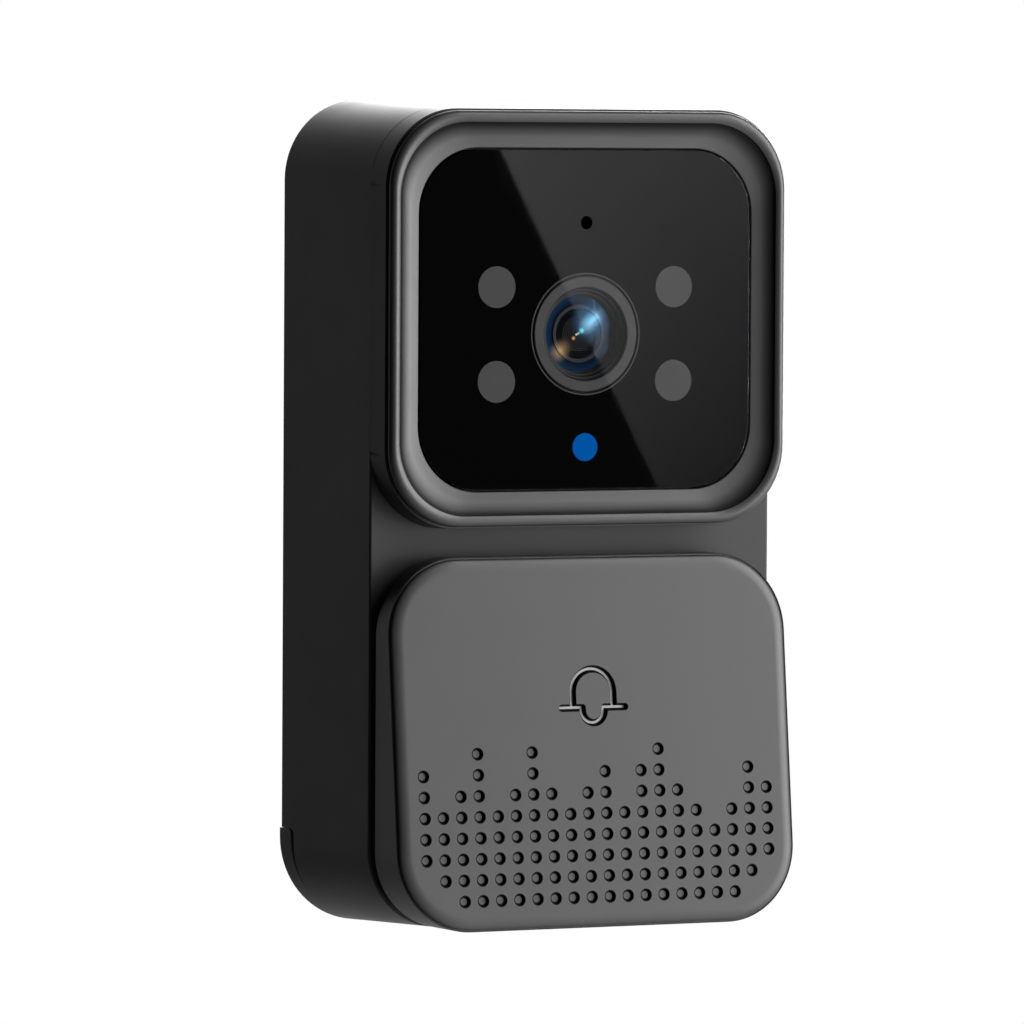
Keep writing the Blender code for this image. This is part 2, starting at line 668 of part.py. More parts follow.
# ---- Rear cover, its seal and screws ---------------------------------------------------------
def make_rear_cover():
    half_x = REBATE_HALF_X - GAP
    half_z = REBATE_HALF_Z - GAP
    cover = block(
        "rear_cover", (-half_x, COVER_FRONT_Y, -half_z), (half_x, COVER_BACK_Y, half_z),
        REBATE_RADIUS - GAP,
    )  # fmt: skip
    for number, (x, base) in enumerate(hook_places(), 1):
        low = base - LIFT_TRAVEL - GAP
        high = base + HOOK_HEIGHT + GAP
        pocket = block(
            f"pocket_{number}",
            (x - POCKET_HALF_X - POCKET_WALL, POCKET_FRONT_Y - POCKET_WALL, low - POCKET_WALL),
            (x + POCKET_HALF_X + POCKET_WALL, COVER_FRONT_Y + BITE, high + POCKET_WALL),
        )
        hollow = block(
            f"pocket_hollow_{number}", (x - POCKET_HALF_X, POCKET_FRONT_Y, low),
            (x + POCKET_HALF_X, COVER_FRONT_Y, high),
        )  # fmt: skip
        slot = block(
            f"pocket_slot_{number}",
            (x - POCKET_HALF_X + SLIVER, COVER_FRONT_Y - BITE, low + SLIVER),
            (x + POCKET_HALF_X - SLIVER, 0, base + HOOK_STEM + GAP),
        )
        join(cover, pocket)
        cut(cover, hollow, slot)
    for number, place in enumerate(cover_screw_places(), 1):
        side = [
            (1.1 * MM, -6.0 * MM), (1.1 * MM, -3.5 * MM),
            (2.2 * MM, COVER_BACK_Y - 0.1 * MM), (2.2 * MM, 0.0),
        ]  # fmt: skip
        cut(cover, turned(f"cover_hole_{number}", closed_on_axis(side), place, 12))
    return finish(cover, "inner plastic")


def make_cover_seal():
    outer = rounded_rectangle(
        REBATE_HALF_X - GAP, -REBATE_HALF_Z + GAP, REBATE_HALF_Z - GAP, REBATE_RADIUS - GAP
    )
    inner = rounded_rectangle(
        CAVITY_HALF_X + GAP, -CAVITY_HALF_Z - GAP, CAVITY_HALF_Z + GAP, CAVITY_RADIUS + GAP
    )
    return finish(plate("cover_seal", [outer, inner], SEAL_FRONT_Y, SEAL_BACK_Y), "rubber")


def make_cover_screws():
    side = [
        (SHANK_RADIUS, -9.0 * MM), (SHANK_RADIUS, -3.6 * MM), (SCREW_HEAD_RADIUS, -2.8 * MM),
        (SCREW_HEAD_RADIUS, -2.6 * MM), (0.6 * MM, -2.6 * MM), (0.6 * MM, -3.2 * MM),
    ]  # fmt: skip
    for number, place in enumerate(cover_screw_places(), 1):
        finish(turned(f"cover_screw_{number}", closed_on_axis(side), place, 12), "steel")


# ---- Camera module: bezel, window and what shows through it ----------------------------------
def bezel_outline(share):
    """Rounded rectangle at a share of the way from the module's edge to the glass."""

    def between(outer, inner):
        return outer + share * (inner - outer)

    return rounded_rectangle(
        between(MODULE_HALF_X, GLASS_HALF_X),
        between(MODULE_LOW_Z, GLASS_LOW_Z),
        between(MODULE_HIGH_Z, GLASS_HIGH_Z),
        between(CORNER_RADIUS, GLASS_RADIUS),
    )


def make_camera_bezel():
    width = MODULE_HALF_X - GLASS_HALF_X
    back_y = SEAT_Y - GAP
    circuit = [(BEZEL_EDGE, BEZEL_LIP_BACK_Y), (BEZEL_EDGE, MODULE_EDGE_Y)]
    for step in range(1, 4):  # rounded outer band up to the crest
        angle = step / 3 * math.pi / 2
        circuit.append((
            BEZEL_EDGE + (BEZEL_CREST - BEZEL_EDGE) * (1 - math.cos(angle)),
            MODULE_EDGE_Y + (BEZEL_CREST_Y - MODULE_EDGE_Y) * math.sin(angle),
        ))
    cove_y = GLASS_Y + 0.15 * MM
    for step in range(1, 4):  # hollow cove behind the crest
        angle = step / 3 * math.pi / 2
        circuit.append((
            BEZEL_CREST + (BEZEL_COVE_END - BEZEL_CREST) * math.sin(angle),
            cove_y + (BEZEL_CREST_Y - cove_y) * (1 - math.sin(angle)) ** 0.8,
        ))
    circuit += [
        (width, GLASS_Y),
        (width, back_y),
        (BEZEL_FLANGE, back_y),
        (BEZEL_FLANGE, BEZEL_LIP_BACK_Y),
    ]
    sections = [(bezel_outline(inset / width), y) for inset, y in circuit]
    return finish(loft("camera_bezel", sections), "bezel")


def make_window():
    side_gap = 0.2 * MM
    outline = rounded_rectangle(
        GLASS_HALF_X - side_gap, GLASS_LOW_Z + side_gap, GLASS_HIGH_Z - side_gap,
        GLASS_RADIUS - side_gap,
    )  # fmt: skip
    mic_hole = circle((0, MIC_Z), 0.68 * MM, 12)
    window = plate("front_window", [outline, mic_hole], GLASS_Y, GLASS_Y + GLASS_THICKNESS)
    finish(window, "window")
    inner = rounded_rectangle(
        OPENING_HALF_X + GAP, OPENING_LOW_Z - GAP, OPENING_HIGH_Z + GAP, OPENING_RADIUS + GAP, 3
    )
    tape = plate(
        "window_gasket", [outline, inner], SEAT_Y - 0.65 * MM, SEAT_Y - 0.2 * MM
    )
    finish(tape, "rubber")


def infrared_places():
    return [(side * IR_X, LENS_Z + end * IR_RISE) for end in (1, -1) for side in (-1, 1)]


def make_window_mask():
    outline = rounded_rectangle(
        OPENING_HALF_X - GAP, OPENING_LOW_Z + GAP, OPENING_HIGH_Z - GAP, OPENING_RADIUS - GAP, 3
    )
    holes = [circle(place, IR_RADIUS + GAP, 16) for place in infrared_places()]
    holes.append(circle((0, LENS_Z), RING_RADIUS + GAP, 24))
    holes.append(circle((0, STATUS_Z), STATUS_RADIUS + GAP, 12))
    holes.append(circle((0, MIC_Z), 1.0 * MM, 12))
    finish(plate("window_mask", [outline, *holes], MASK_FRONT_Y, MASK_BACK_Y), "mask")
    for number, place in enumerate(infrared_places(), 1):
        disc = rod_y(f"ir_window_{number}", place, MASK_FRONT_Y, MASK_BACK_Y, IR_RADIUS, 16)
        finish(disc, "infrared window")


def make_infrared_lights():
    outline = rounded_rectangle(14 * MM, LENS_Z - 8.3 * MM, LENS_Z + 8.3 * MM, 1.0 * MM, 2)
    lens_hole = circle((0, LENS_Z), 6.3 * MM, 20)
    board = plate("ir_led_board", [outline, lens_hole], IR_BOARD_FRONT_Y, IR_BOARD_BACK_Y)
    finish(board, "board")
    back = IR_BOARD_FRONT_Y - GAP
    side = [
        (0.9 * MM, back - 1.2 * MM), (1.4 * MM, back - 0.8 * MM), (1.5 * MM, back - 0.3 * MM),
        (1.8 * MM, back - 0.3 * MM), (1.8 * MM, back),
    ]  # fmt: skip
    for number, place in enumerate(infrared_places(), 1):
        finish(turned(f"ir_led_{number}", closed_on_axis(side), place, 12), "light source")


def square_block(name, half, front_y, thickness):
    """A square plate centred on the lens's axis."""
    low = (-half, front_y, LENS_Z - half)
    return block(name, low, (half, front_y + thickness, LENS_Z + half))


def make_lens():
    place = (0, LENS_Z)
    trim = [
        (4.9 * MM, MASK_FRONT_Y + 0.05 * MM), (RING_RADIUS, MASK_FRONT_Y + 0.05 * MM),
        (RING_RADIUS, -19.9 * MM), (4.1 * MM, -19.9 * MM), (4.1 * MM, -20.1 * MM),
    ]  # fmt: skip
    finish(turned("lens_trim_ring", trim, place, 24), "lens metal")
    glass = [(0, -20.2 * MM), (1.9 * MM, -20.0 * MM), (3.2 * MM, -19.6 * MM),
             (3.8 * MM, -19.3 * MM), (3.8 * MM, -18.8 * MM), (0, -18.8 * MM)]  # fmt: skip
    finish(turned("lens_front_glass", glass, place, 20), "lens glass")
    barrel = [
        (4.1 * MM, -19.6 * MM), (4.7 * MM, -19.6 * MM), (4.7 * MM, -16.3 * MM),
        (2.9 * MM, -16.3 * MM), (2.9 * MM, -18.5 * MM), (4.1 * MM, -18.5 * MM),
    ]  # fmt: skip
    finish(turned("lens_barrel", barrel, place, 20), "inner plastic")
    element = [(0, -18.0 * MM), (1.6 * MM, -17.8 * MM), (2.6 * MM, -17.4 * MM),
               (2.6 * MM, -16.7 * MM), (0, -16.7 * MM)]  # fmt: skip
    finish(turned("lens_inner_element", element, place, 16), "lens glass")

    # The holder reaches further right, so that the infrared-cut filter can slide aside in it.
    pocket_right_x = FILTER_HALF + FILTER_TRAVEL + GAP
    holder = block(
        "lens_holder", (-HOLDER_HALF, -16.0 * MM, LENS_Z - HOLDER_HALF),
        (pocket_right_x + MM, -14.2 * MM, LENS_Z + HOLDER_HALF),
    )  # fmt: skip
    tube = rod_y("holder_tube", place, -18.0 * MM, -15.5 * MM, 5.9 * MM, 20)
    bore = rod_y("holder_bore", place, -20.0 * MM, -16.0 * MM, 5.0 * MM, 20)
    light_hole = rod_y("holder_light_hole", place, -17.0 * MM, -15.0 * MM, LIGHT_HOLE_RADIUS, 12)
    pocket = block(
        "holder_pocket", (-POCKET_HALF_Z, FILTER_FRONT_Y - GAP, LENS_Z - POCKET_HALF_Z),
        (pocket_right_x, 0, LENS_Z + POCKET_HALF_Z),
    )  # fmt: skip
    join(holder, tube)
    cut(holder, bore, light_hole, pocket)
    finish(holder, "inner plastic")

    ir_filter = square_block("ir_cut_filter", FILTER_HALF, FILTER_FRONT_Y, 0.3 * MM)
    finish(ir_filter, "filter glass")
    carried_by("filter_slide", (0, FILTER_FRONT_Y, LENS_Z), [ir_filter])
    finish(square_block("image_sensor", SENSOR_HALF, SENSOR_FRONT_Y, 0.6 * MM), "sensor")
    board = square_block("camera_board", CAMERA_BOARD_HALF, CAMERA_BOARD_FRONT_Y, 1.0 * MM)
    finish(board, "board")
    plug = block(
        "camera_connector", (-5 * MM, -12.6 * MM, LENS_Z - 8 * MM),
        (5 * MM, PART_Y, LENS_Z - 5 * MM),
    )  # fmt: skip
    finish(plug, "white plug")


def make_status_light():
    side = [
        (STATUS_RADIUS, MASK_FRONT_Y), (STATUS_RADIUS, -20.0 * MM), (1.1 * MM, -20.0 * MM),
        (1.1 * MM, -13.1 * MM),
    ]  # fmt: skip
    pipe = turned("status_light_pipe", closed_on_axis(side), (0, STATUS_Z), 16)
    finish(pipe, "status")
    led = block(
        "status_led", (-1.5 * MM, -12.8 * MM, STATUS_Z - MM), (1.5 * MM, PART_Y, STATUS_Z + MM)
    )
    finish(led, "light source")


def make_microphone():
    boot = [
        (0.7 * MM, -20.2 * MM), (2.9 * MM, -20.2 * MM), (2.9 * MM, -16.4 * MM),
        (2.3 * MM, -16.4 * MM), (2.3 * MM, -18.7 * MM), (0.7 * MM, -18.7 * MM),
    ]  # fmt: skip
    finish(turned("mic_boot", boot, (0, MIC_Z), 16), "rubber")
    capsule = rod_y("microphone", (0, MIC_Z), -18.4 * MM, -16.5 * MM, 2.0 * MM, 16)
    finish(capsule, "steel")


# ---- Main board and what is on it ---------------------------------------------------------------
def make_main_board():
    wide, narrow = 18.0 * MM, 13.8 * MM
    high, low, short = 39.3 * MM, -38.5 * MM, 32.5 * MM
    corners = [
        (wide, short), (narrow, short), (narrow, high), (-narrow, high), (-narrow, short),
        (-wide, short), (-wide, -short), (-narrow, -short), (-narrow, low),
        (narrow, low), (narrow, -short), (wide, -short),
    ]  # fmt: skip
    holes = [circle(place, SCREW_HOLE_RADIUS, 8) for place in BOARD_SCREW_PLACES]
    board = plate("main_board", [corners, *holes], BOARD_FRONT_Y, BOARD_BACK_Y)
    finish(board, "board")
    side = [
        (SHANK_RADIUS, -15.5 * MM), (SHANK_RADIUS, BOARD_BACK_Y + 0.2 * MM),
        (1.6 * MM, BOARD_BACK_Y + 0.2 * MM), (1.6 * MM, -9.2 * MM),
        (0.5 * MM, -9.2 * MM), (0.5 * MM, -9.6 * MM),
    ]  # fmt: skip
    for number, place in enumerate(BOARD_SCREW_PLACES, 1):
        finish(turned(f"board_screw_{number}", closed_on_axis(side), place, 10), "steel")
    shield = block(
        "wifi_shield", (-15.5 * MM, -13.8 * MM, -8 * MM), (-3.5 * MM, PART_Y, 4 * MM), 0.8 * MM, 1
    )
    finish(shield, "steel")
    chip = block(
        "processor_chip", (3.5 * MM, -12.7 * MM, -8 * MM), (13.5 * MM, PART_Y, 2 * MM)
    )
    finish(chip, "inner plastic")


def make_antenna():
    film = block("wifi_antenna", (-20.7 * MM, -16 * MM, -6 * MM), (-20.3 * MM, -8 * MM, 22 * MM))
    finish(film, "copper film")
    route = [(-19.7, -12.5, 10), (-18.8, -13.6, 8.4), (-17.6, -14.3, 6.4), (-16.4, -14.2, 4.0),
             (-16.5, -13.4, 1.5), (-16.6, -12.2, 0.2)]  # fmt: skip
    finish(lead("antenna_lead", route, 0.5 * MM, 3), "black lead")


def make_speaker():
    place = (0, SPEAKER_Z)
    gasket = plate(
        "speaker_gasket", [circle(place, 9.7 * MM, 20), circle(place, 8.3 * MM, 20)],
        -17.6 * MM, -17.1 * MM,
    )  # fmt: skip
    finish(gasket, "rubber")
    frame = [
        (8.3 * MM, -16.8 * MM), (9.8 * MM, -16.8 * MM), (9.8 * MM, -16.0 * MM),
        (7.0 * MM, -14.9 * MM), (4.9 * MM, -14.9 * MM), (4.9 * MM, -15.3 * MM),
        (6.6 * MM, -15.3 * MM),
    ]  # fmt: skip
    finish(turned("speaker_frame", frame, place, 20), "inner plastic")
    cone = [(0, -16.7 * MM), (2.6 * MM, -16.4 * MM), (3.4 * MM, -16.0 * MM), (7.4 * MM, -16.9 * MM),
            (7.8 * MM, -16.9 * MM), (7.8 * MM, -16.6 * MM), (7.4 * MM, -16.6 * MM),
            (3.4 * MM, -15.7 * MM), (2.6 * MM, -16.1 * MM), (0, -16.4 * MM)]  # fmt: skip
    finish(turned("speaker_cone", cone, place, 20), "paper")
    magnet = rod_y("speaker_magnet", place, -15.3 * MM, -12.0 * MM, 4.5 * MM, 20)
    finish(magnet, "magnet")


def make_battery():
    pack = block(
        "battery_pack", (-17 * MM, BATTERY_FRONT_Y, -21 * MM), (17 * MM, BATTERY_BACK_Y, 23.3 * MM),
        1.5 * MM, 2,
    )  # fmt: skip
    finish(pack, "battery wrap")
    plug = block(
        "battery_plug", (-3.2 * MM, BOARD_BACK_Y + GAP, -28 * MM), (3.2 * MM, -7.2 * MM, -25.2 * MM)
    )
    finish(plug, "white plug")
    for name, side, look in (
        ("battery_lead_red", -1, "red lead"),
        ("battery_lead_black", 1, "black lead"),
    ):
        route = [(side * 4.5, -7.3, -21.4), (side * 4.3, -7.0, -22.4), (side * 2.6, -7.4, -23.4),
                 (side * 1.4, -8.4, -24.2), (side * 1.2, -8.6, -24.9)]  # fmt: skip
        finish(lead(name, route, 0.5 * MM, 3), look)


def make_switches():
    half = 3.0 * MM
    switch = block(
        "call_switch", (-half, -14.6 * MM, SWITCH_Z - half), (half, PART_Y, SWITCH_Z + half)
    )
    bore = rod_y("call_switch_bore", (0, SWITCH_Z), -16 * MM, -13.3 * MM, 1.9 * MM, 12)
    cut(switch, bore)
    finish(switch, "inner plastic")
    plunger = rod_y("switch_plunger", (0, SWITCH_Z), -16.1 * MM, -14.3 * MM, 1.6 * MM, 12)
    finish(plunger, "white plug")
    carried_by("plunger_slide", (0, -14.3 * MM, SWITCH_Z), [plunger])

    switch_low_z = RESET_COLLAR_Z + RESET_TRAVEL + GAP
    reset_switch = block(
        "reset_switch", (RESET_X - 1.6 * MM, -14.6 * MM, switch_low_z),
        (RESET_X + 1.6 * MM, PART_Y, switch_low_z + 3.5 * MM),
    )  # fmt: skip
    finish(reset_switch, "inner plastic")
    side = [
        (0.7 * MM, RESET_COLLAR_Z), (1.5 * MM, RESET_COLLAR_Z), (1.5 * MM, -39.4 * MM),
        (0.8 * MM, -39.4 * MM), (0.8 * MM, -40.7 * MM),
    ]  # fmt: skip
    reset = turned("reset_button", closed_on_axis(side), (RESET_X, PORT_Y), 12, True)
    finish(reset, "white plug")
    carried_by("reset_slide", (RESET_X, PORT_Y, -40.7 * MM), [reset])


def make_port():
    socket = block(
        "usb_socket", (-4.5 * MM, -14.6 * MM, -39.5 * MM), (4.5 * MM, PART_Y, -32.4 * MM)
    )
    mouth = block(
        "usb_mouth", (-4.1 * MM, -14.2 * MM, -45 * MM), (4.1 * MM, -12.0 * MM, -33.5 * MM)
    )
    tab = block(
        "usb_tab", (-3.2 * MM, -13.45 * MM, -38.8 * MM), (3.2 * MM, -12.75 * MM, -33 * MM)
    )
    cut(socket, mouth)
    join(socket, tab)
    finish(socket, "steel")

    flap = block(
        "port_flap", (FLAP_LEFT_X, FLAP_FRONT_Y, FLAP_LOW_Z),
        (FLAP_RIGHT_X, FLAP_BACK_Y, FLAP_HIGH_Z),
    )  # fmt: skip
    bung = block(
        "flap_bung", (-4.3 * MM, PORT_Y - 1.5 * MM, FLAP_HIGH_Z - BITE),
        (4.3 * MM, PORT_Y + 1.5 * MM, -40.0 * MM), 0.7 * MM, 2,
    )  # fmt: skip
    nail_notch = rod(
        "nail_notch", (FLAP_RIGHT_X, -FAR, FLAP_LOW_Z), (FLAP_RIGHT_X, 0, FLAP_LOW_Z), 0.5 * MM, 8
    )  # fmt: skip
    join(flap, bung)
    cut(flap, nail_notch)
    finish(flap, "rubber")
    carried_by("flap_hinge", FLAP_HINGE, [flap])


# ---- Push plate ---------------------------------------------------------------------------------
def slope_front(piece, offset):
    """Cut a block back to the sloping face, offset metres behind it, and close it again."""
    shape = bmesh.new()
    shape.from_mesh(piece.data)
    normal = Vector((0.0, -1.0, PLATE_SLOPE)).normalized()
    bmesh.ops.bisect_plane(
        shape,
        geom=[*shape.verts, *shape.edges, *shape.faces],
        plane_co=(0.0, PLATE_BOTTOM_Y + offset, PLATE_LOW_Z),
        plane_no=normal,
        clear_outer=True,
        dist=1e-9,
    )
    open_edges = [edge for edge in shape.edges if edge.is_boundary]
    bmesh.ops.edgeloop_fill(shape, edges=open_edges)
    bmesh.ops.recalc_face_normals(shape, faces=shape.faces)
    shape.to_mesh(piece.data)
    shape.free()


def soften_front(piece, width, segments):
    """Round the edge between the sloping face and the skirt."""
    shape = bmesh.new()
    shape.from_mesh(piece.data)
    normal = Vector((0.0, -1.0, PLATE_SLOPE)).normalized()
    shape.faces.ensure_lookup_table()
    face = max(shape.faces, key=lambda item: item.normal.dot(normal) * item.calc_area())
    bmesh.ops.bevel(
        shape, geom=list(face.edges), offset=width, segments=segments, profile=0.5,
        affect="EDGES",
    )  # fmt: skip
    shape.to_mesh(piece.data)
    shape.free()


def arc(middle_z, radius, start, end, steps):
    """Points (x, z) along an arc about the centre line, between two angles."""
    angles = [start + step / steps * (end - start) for step in range(steps + 1)]
    return [(radius * math.cos(angle), middle_z + radius * math.sin(angle)) for angle in angles]


def bell_strokes():
    """The bell's four strokes, as (x, z) lines: dome, clapper and two base bars."""
    foot_angle = math.asin((BELL_Z - BELL_BASE_Z) / BELL_DOME_RADIUS)
    dome = arc(BELL_Z, BELL_DOME_RADIUS, -foot_angle, math.pi + foot_angle, 14)
    bowl = arc(BELL_BASE_Z - 0.3 * MM, CLAPPER_RADIUS, math.pi, 2 * math.pi, 8)
    clapper = [(-CLAPPER_RADIUS, BELL_BASE_Z), *bowl, (CLAPPER_RADIUS, BELL_BASE_Z)]
    bars = [
        [(side * CLAPPER_RADIUS, BELL_BASE_Z), (side * BELL_HALF_BASE, BELL_BASE_Z)]
        for side in (-1, 1)
    ]
    return [dome, clapper, *bars]


def groove(name, stroke, depth):
    """A cutter along one stroke of the bell, lying in the sloping face."""
    outline = []
    for end_turn, line in ((1, stroke), (-1, stroke[::-1])):
        for index, (x, z) in enumerate(line):
            before = line[max(index - 1, 0)]
            after = line[min(index + 1, len(line) - 1)]
            along = Vector((after[0] - before[0], after[1] - before[1])).normalized()
            outline.append((x + GROOVE_RADIUS * along.y, z - GROOVE_RADIUS * along.x))
    cutter = plate(name, [outline], -depth, depth)
    lean = Matrix.Identity(4)
    lean[1][2] = PLATE_SLOPE
    lean[1][3] = face_y(0.0)
    cutter.data.transform(cutter.matrix_world)
    cutter.matrix_world = Matrix.Identity(4)
    cutter.data.transform(lean)
    return cutter


def speaker_hole_cutter():
    """All of the speaker holes as one cutter."""
    shape = bmesh.new()
    turn = Matrix.Rotation(math.pi / 2, 4, "X")
    for column, (first, last) in enumerate(HOLE_COLUMNS):
        x = (column - (len(HOLE_COLUMNS) - 1) / 2) * HOLE_PITCH_X
        for row in range(first, last + 1):
            z = HOLE_TOP_Z - (row - 1) * HOLE_PITCH_Z
            place = Matrix.Translation((x, face_y(z), z))
            bmesh.ops.create_cone(
                shape, cap_ends=True, segments=HOLE_SIDES, radius1=HOLE_RADIUS,
                radius2=HOLE_RADIUS, depth=4 * MM, matrix=place @ turn,
            )  # fmt: skip
    return from_bmesh("speaker_holes", shape)


def make_call_button():
    low = (-PLATE_HALF_X, PLATE_BOTTOM_Y - MM, PLATE_LOW_Z)
    button = block("call_button", low, (PLATE_HALF_X, SKIRT_BACK_Y, PLATE_HIGH_Z), CORNER_RADIUS)
    slope_front(button, 0.0)
    soften_front(button, 0.5 * MM, 2)
    hollow = block(
        "button_hollow",
        (-PLATE_HALF_X + SKIRT_WALL, PLATE_BOTTOM_Y - MM, PLATE_LOW_Z + SKIRT_WALL),
        (PLATE_HALF_X - SKIRT_WALL, -10.0 * MM, PLATE_HIGH_Z - SKIRT_WALL),
        CORNER_RADIUS - SKIRT_WALL,
    )
    slope_front(hollow, FACE_WALL)
    cut(button, hollow)
    for number, place in enumerate(GUIDE_POST_PLACES, 1):
        front_y = face_y(place[1]) + BITE
        post = rod_y(f"guide_post_{number}", place, front_y, -17.0 * MM, GUIDE_POST_RADIUS, 10)
        barb_y = FRONT_WALL_BACK_Y + GAP
        barb_back_y = barb_y + 0.4 * MM
        barb = rod_y(f"guide_barb_{number}", place, barb_y, barb_back_y, GUIDE_BARB_RADIUS, 10)
        join(button, post, barb)
    front_y = face_y(SWITCH_Z) + BITE
    join(button, rod_y("actuator", (0, SWITCH_Z), front_y, -16.4 * MM, ACTUATOR_RADIUS, 12))
    for number, stroke in enumerate(bell_strokes(), 1):
        depth = GROOVE_DEPTH + number * 0.01 * MM  # crossing strokes keep unlike floors
        cut(button, groove(f"bell_groove_{number}", stroke, depth))
    cut(button, speaker_hole_cutter())
    finish(button, "push plate")

    # The dust mesh lies just behind the holes, on the same slope.
    half_x = 20.6 * MM
    low_z, high_z = -39.9 * MM, -22.3 * MM
    sheet = block("speaker_mesh", (-half_x, 0, low_z), (half_x, 0.3 * MM, high_z), 6.0 * MM, 4)
    lean = Matrix.Identity(4)
    lean[1][2] = PLATE_SLOPE
    lean[1][3] = face_y(0.0) + FACE_WALL + 0.25 * MM
    sheet.data.transform(lean)
    finish(sheet, "mesh")
    carried_by("button_slide", (0, SKIRT_BACK_Y, SWITCH_Z), [button, sheet])


def main():
    make_wall_bracket()
    lock_screw = make_lock_screw()
    carried_by("lock_screw_slide", (0, LOCK_Y, TONGUE_LOW_Z), [lock_screw])
    make_front_shell()
    make_rear_cover()
    make_cover_seal()
    make_cover_screws()
    make_camera_bezel()
    make_window()
    make_window_mask()
    make_infrared_lights()
    make_lens()
    make_status_light()
    make_microphone()
    make_main_board()
    make_antenna()
    make_speaker()
    make_battery()
    make_switches()
    make_port()
    make_call_button()


main()
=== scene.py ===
"""Looks of the video doorbell: fine meshes, materials, light and camera round its CAD model."""

import math

import bmesh
import bpy
from mathutils import Matrix, Vector


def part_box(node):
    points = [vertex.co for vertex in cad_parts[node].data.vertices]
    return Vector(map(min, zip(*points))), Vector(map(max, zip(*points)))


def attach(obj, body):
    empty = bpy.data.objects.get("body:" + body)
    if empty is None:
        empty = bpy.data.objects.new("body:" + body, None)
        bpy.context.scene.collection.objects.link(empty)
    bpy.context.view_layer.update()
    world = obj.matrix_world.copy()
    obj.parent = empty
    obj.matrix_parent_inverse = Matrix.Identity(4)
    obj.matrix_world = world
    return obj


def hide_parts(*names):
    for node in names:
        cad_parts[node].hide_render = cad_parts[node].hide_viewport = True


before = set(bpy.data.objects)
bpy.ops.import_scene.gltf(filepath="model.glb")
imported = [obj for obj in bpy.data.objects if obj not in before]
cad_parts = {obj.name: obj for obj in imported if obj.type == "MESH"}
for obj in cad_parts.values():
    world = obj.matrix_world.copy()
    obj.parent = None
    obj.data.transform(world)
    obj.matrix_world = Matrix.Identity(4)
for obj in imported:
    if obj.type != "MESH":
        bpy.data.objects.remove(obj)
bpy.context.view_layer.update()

MM = 0.001


def middle(node):
    """(x, z) of a CAD node's middle."""
    low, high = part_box(node)
    return ((low.x + high.x) / 2, (low.z + high.z) / 2)


# ---- Sizes read from the CAD model ----
SHELL_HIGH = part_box("front_shell")[1]
BEZEL_LOW, BEZEL_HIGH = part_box("camera_bezel")
GLASS_LOW, GLASS_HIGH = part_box("front_window")
PLATE_LOW, PLATE_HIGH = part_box("call_button")
FLAP_LOW, FLAP_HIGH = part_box("port_flap")
SCREW_LOW, SCREW_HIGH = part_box("lock_screw")
STATUS_BACK_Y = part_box("status_light_pipe")[1].y

# ---- Body ----
CORNER_STEPS = 20
CORNER_RADIUS = 8.0 * MM
NECK_Y = -19.5 * MM
RIM_Y = SHELL_HIGH.y
BODY_DRAFT = 0.72 * MM
BODY_HALF_X = SHELL_HIGH.x - BODY_DRAFT
BODY_HALF_Z = SHELL_HIGH.z - BODY_DRAFT
NECK_EDGE = 0.22 * MM  # fillet between the body's sides and the neck plane
RIM_EDGE = 0.25 * MM

REBATE_HALF_X = 22.3 * MM  # the step in the housing's back that takes the bracket
REBATE_HALF_Z = 41.1 * MM
REBATE_RADIUS = 6.9 * MM
REBATE_Y = -5.2 * MM
CAVITY_HALF_X = 21.0 * MM
CAVITY_HALF_Z = 39.8 * MM
CAVITY_RADIUS = 6.0 * MM
CAVITY_Y = -17.9 * MM
WALL_SPAN = (-22.0 * MM, -16.9 * MM)  # depths of a cut through the wall behind the push plate
BACK = 5.0 * MM  # a depth behind the whole object
SHIFT = 0.02 * MM  # keeps two cuts' faces from lying in one plane

COVER_POSTS = [(side * 17.0 * MM, end * 35.8 * MM) for end in (1, -1) for side in (-1, 1)]
BOARD_POSTS = [(side * 9.0 * MM, 37.8 * MM) for side in (-1, 1)]
BOARD_POSTS += [(side * 11.8 * MM, -35.8 * MM) for side in (-1, 1)]
# Screw posts: their places, back end, radius and the front end of their holes.
SCREW_POSTS = (
    (COVER_POSTS, -4.3 * MM, 2.4 * MM, -12.0 * MM),
    (BOARD_POSTS, -11.6 * MM, 1.9 * MM, -16.5 * MM),
)
SCREW_HOLE_RADIUS = 1.1 * MM
LOCK_BOSS_RADIUS = 2.2 * MM
LOCK_BOSS_LOW_Z = -40.5 * MM
LOCK_BOSS_HIGH_Z = -35.0 * MM
LOCK_HOLE_HIGH_Z = -35.8 * MM

# ---- Camera module ----
BEZEL_EDGE = 0.2 * MM  # steps of the bezel's section, counted in from the module's outline
BEZEL_CREST = 0.74 * MM
BEZEL_RIDGE_END = 1.28 * MM
BEZEL_RIDGE_FALL = 0.16 * MM
BEZEL_CREST_Y = BEZEL_LOW.y
BEZEL_EDGE_Y = BEZEL_LOW.y + 0.45 * MM
BEZEL_LIP_BACK_Y = BEZEL_EDGE_Y + 0.27 * MM
BEZEL_STEP = 0.14 * MM
COVE_SLOPE = 0.5  # share of the cove's fall that is an even slope
COVE_POWER = 3.0
BEZEL_FLANGE = 1.75 * MM
BEZEL_WIDTH = 3.74 * MM
MODULE_HALF_X = BEZEL_HIGH.x + BEZEL_EDGE
MODULE_LOW_Z = BEZEL_LOW.z - BEZEL_EDGE
MODULE_HIGH_Z = BEZEL_HIGH.z + BEZEL_EDGE
MODULE_WALL_Y = BEZEL_LIP_BACK_Y + 0.28 * MM
MODULE_EDGE = 0.04 * MM
MODULE_ROOT_Y = -17.5 * MM  # the module's sides run into the body's sides here
MODULE_ROOT_DROP = 0.13 * MM
MODULE_CAVITY_Y = -19.3 * MM
MODULE_CAVITY_BACK_Y = -17.4 * MM
MODULE_CAVITY_LOW_Z = 1.0 * MM
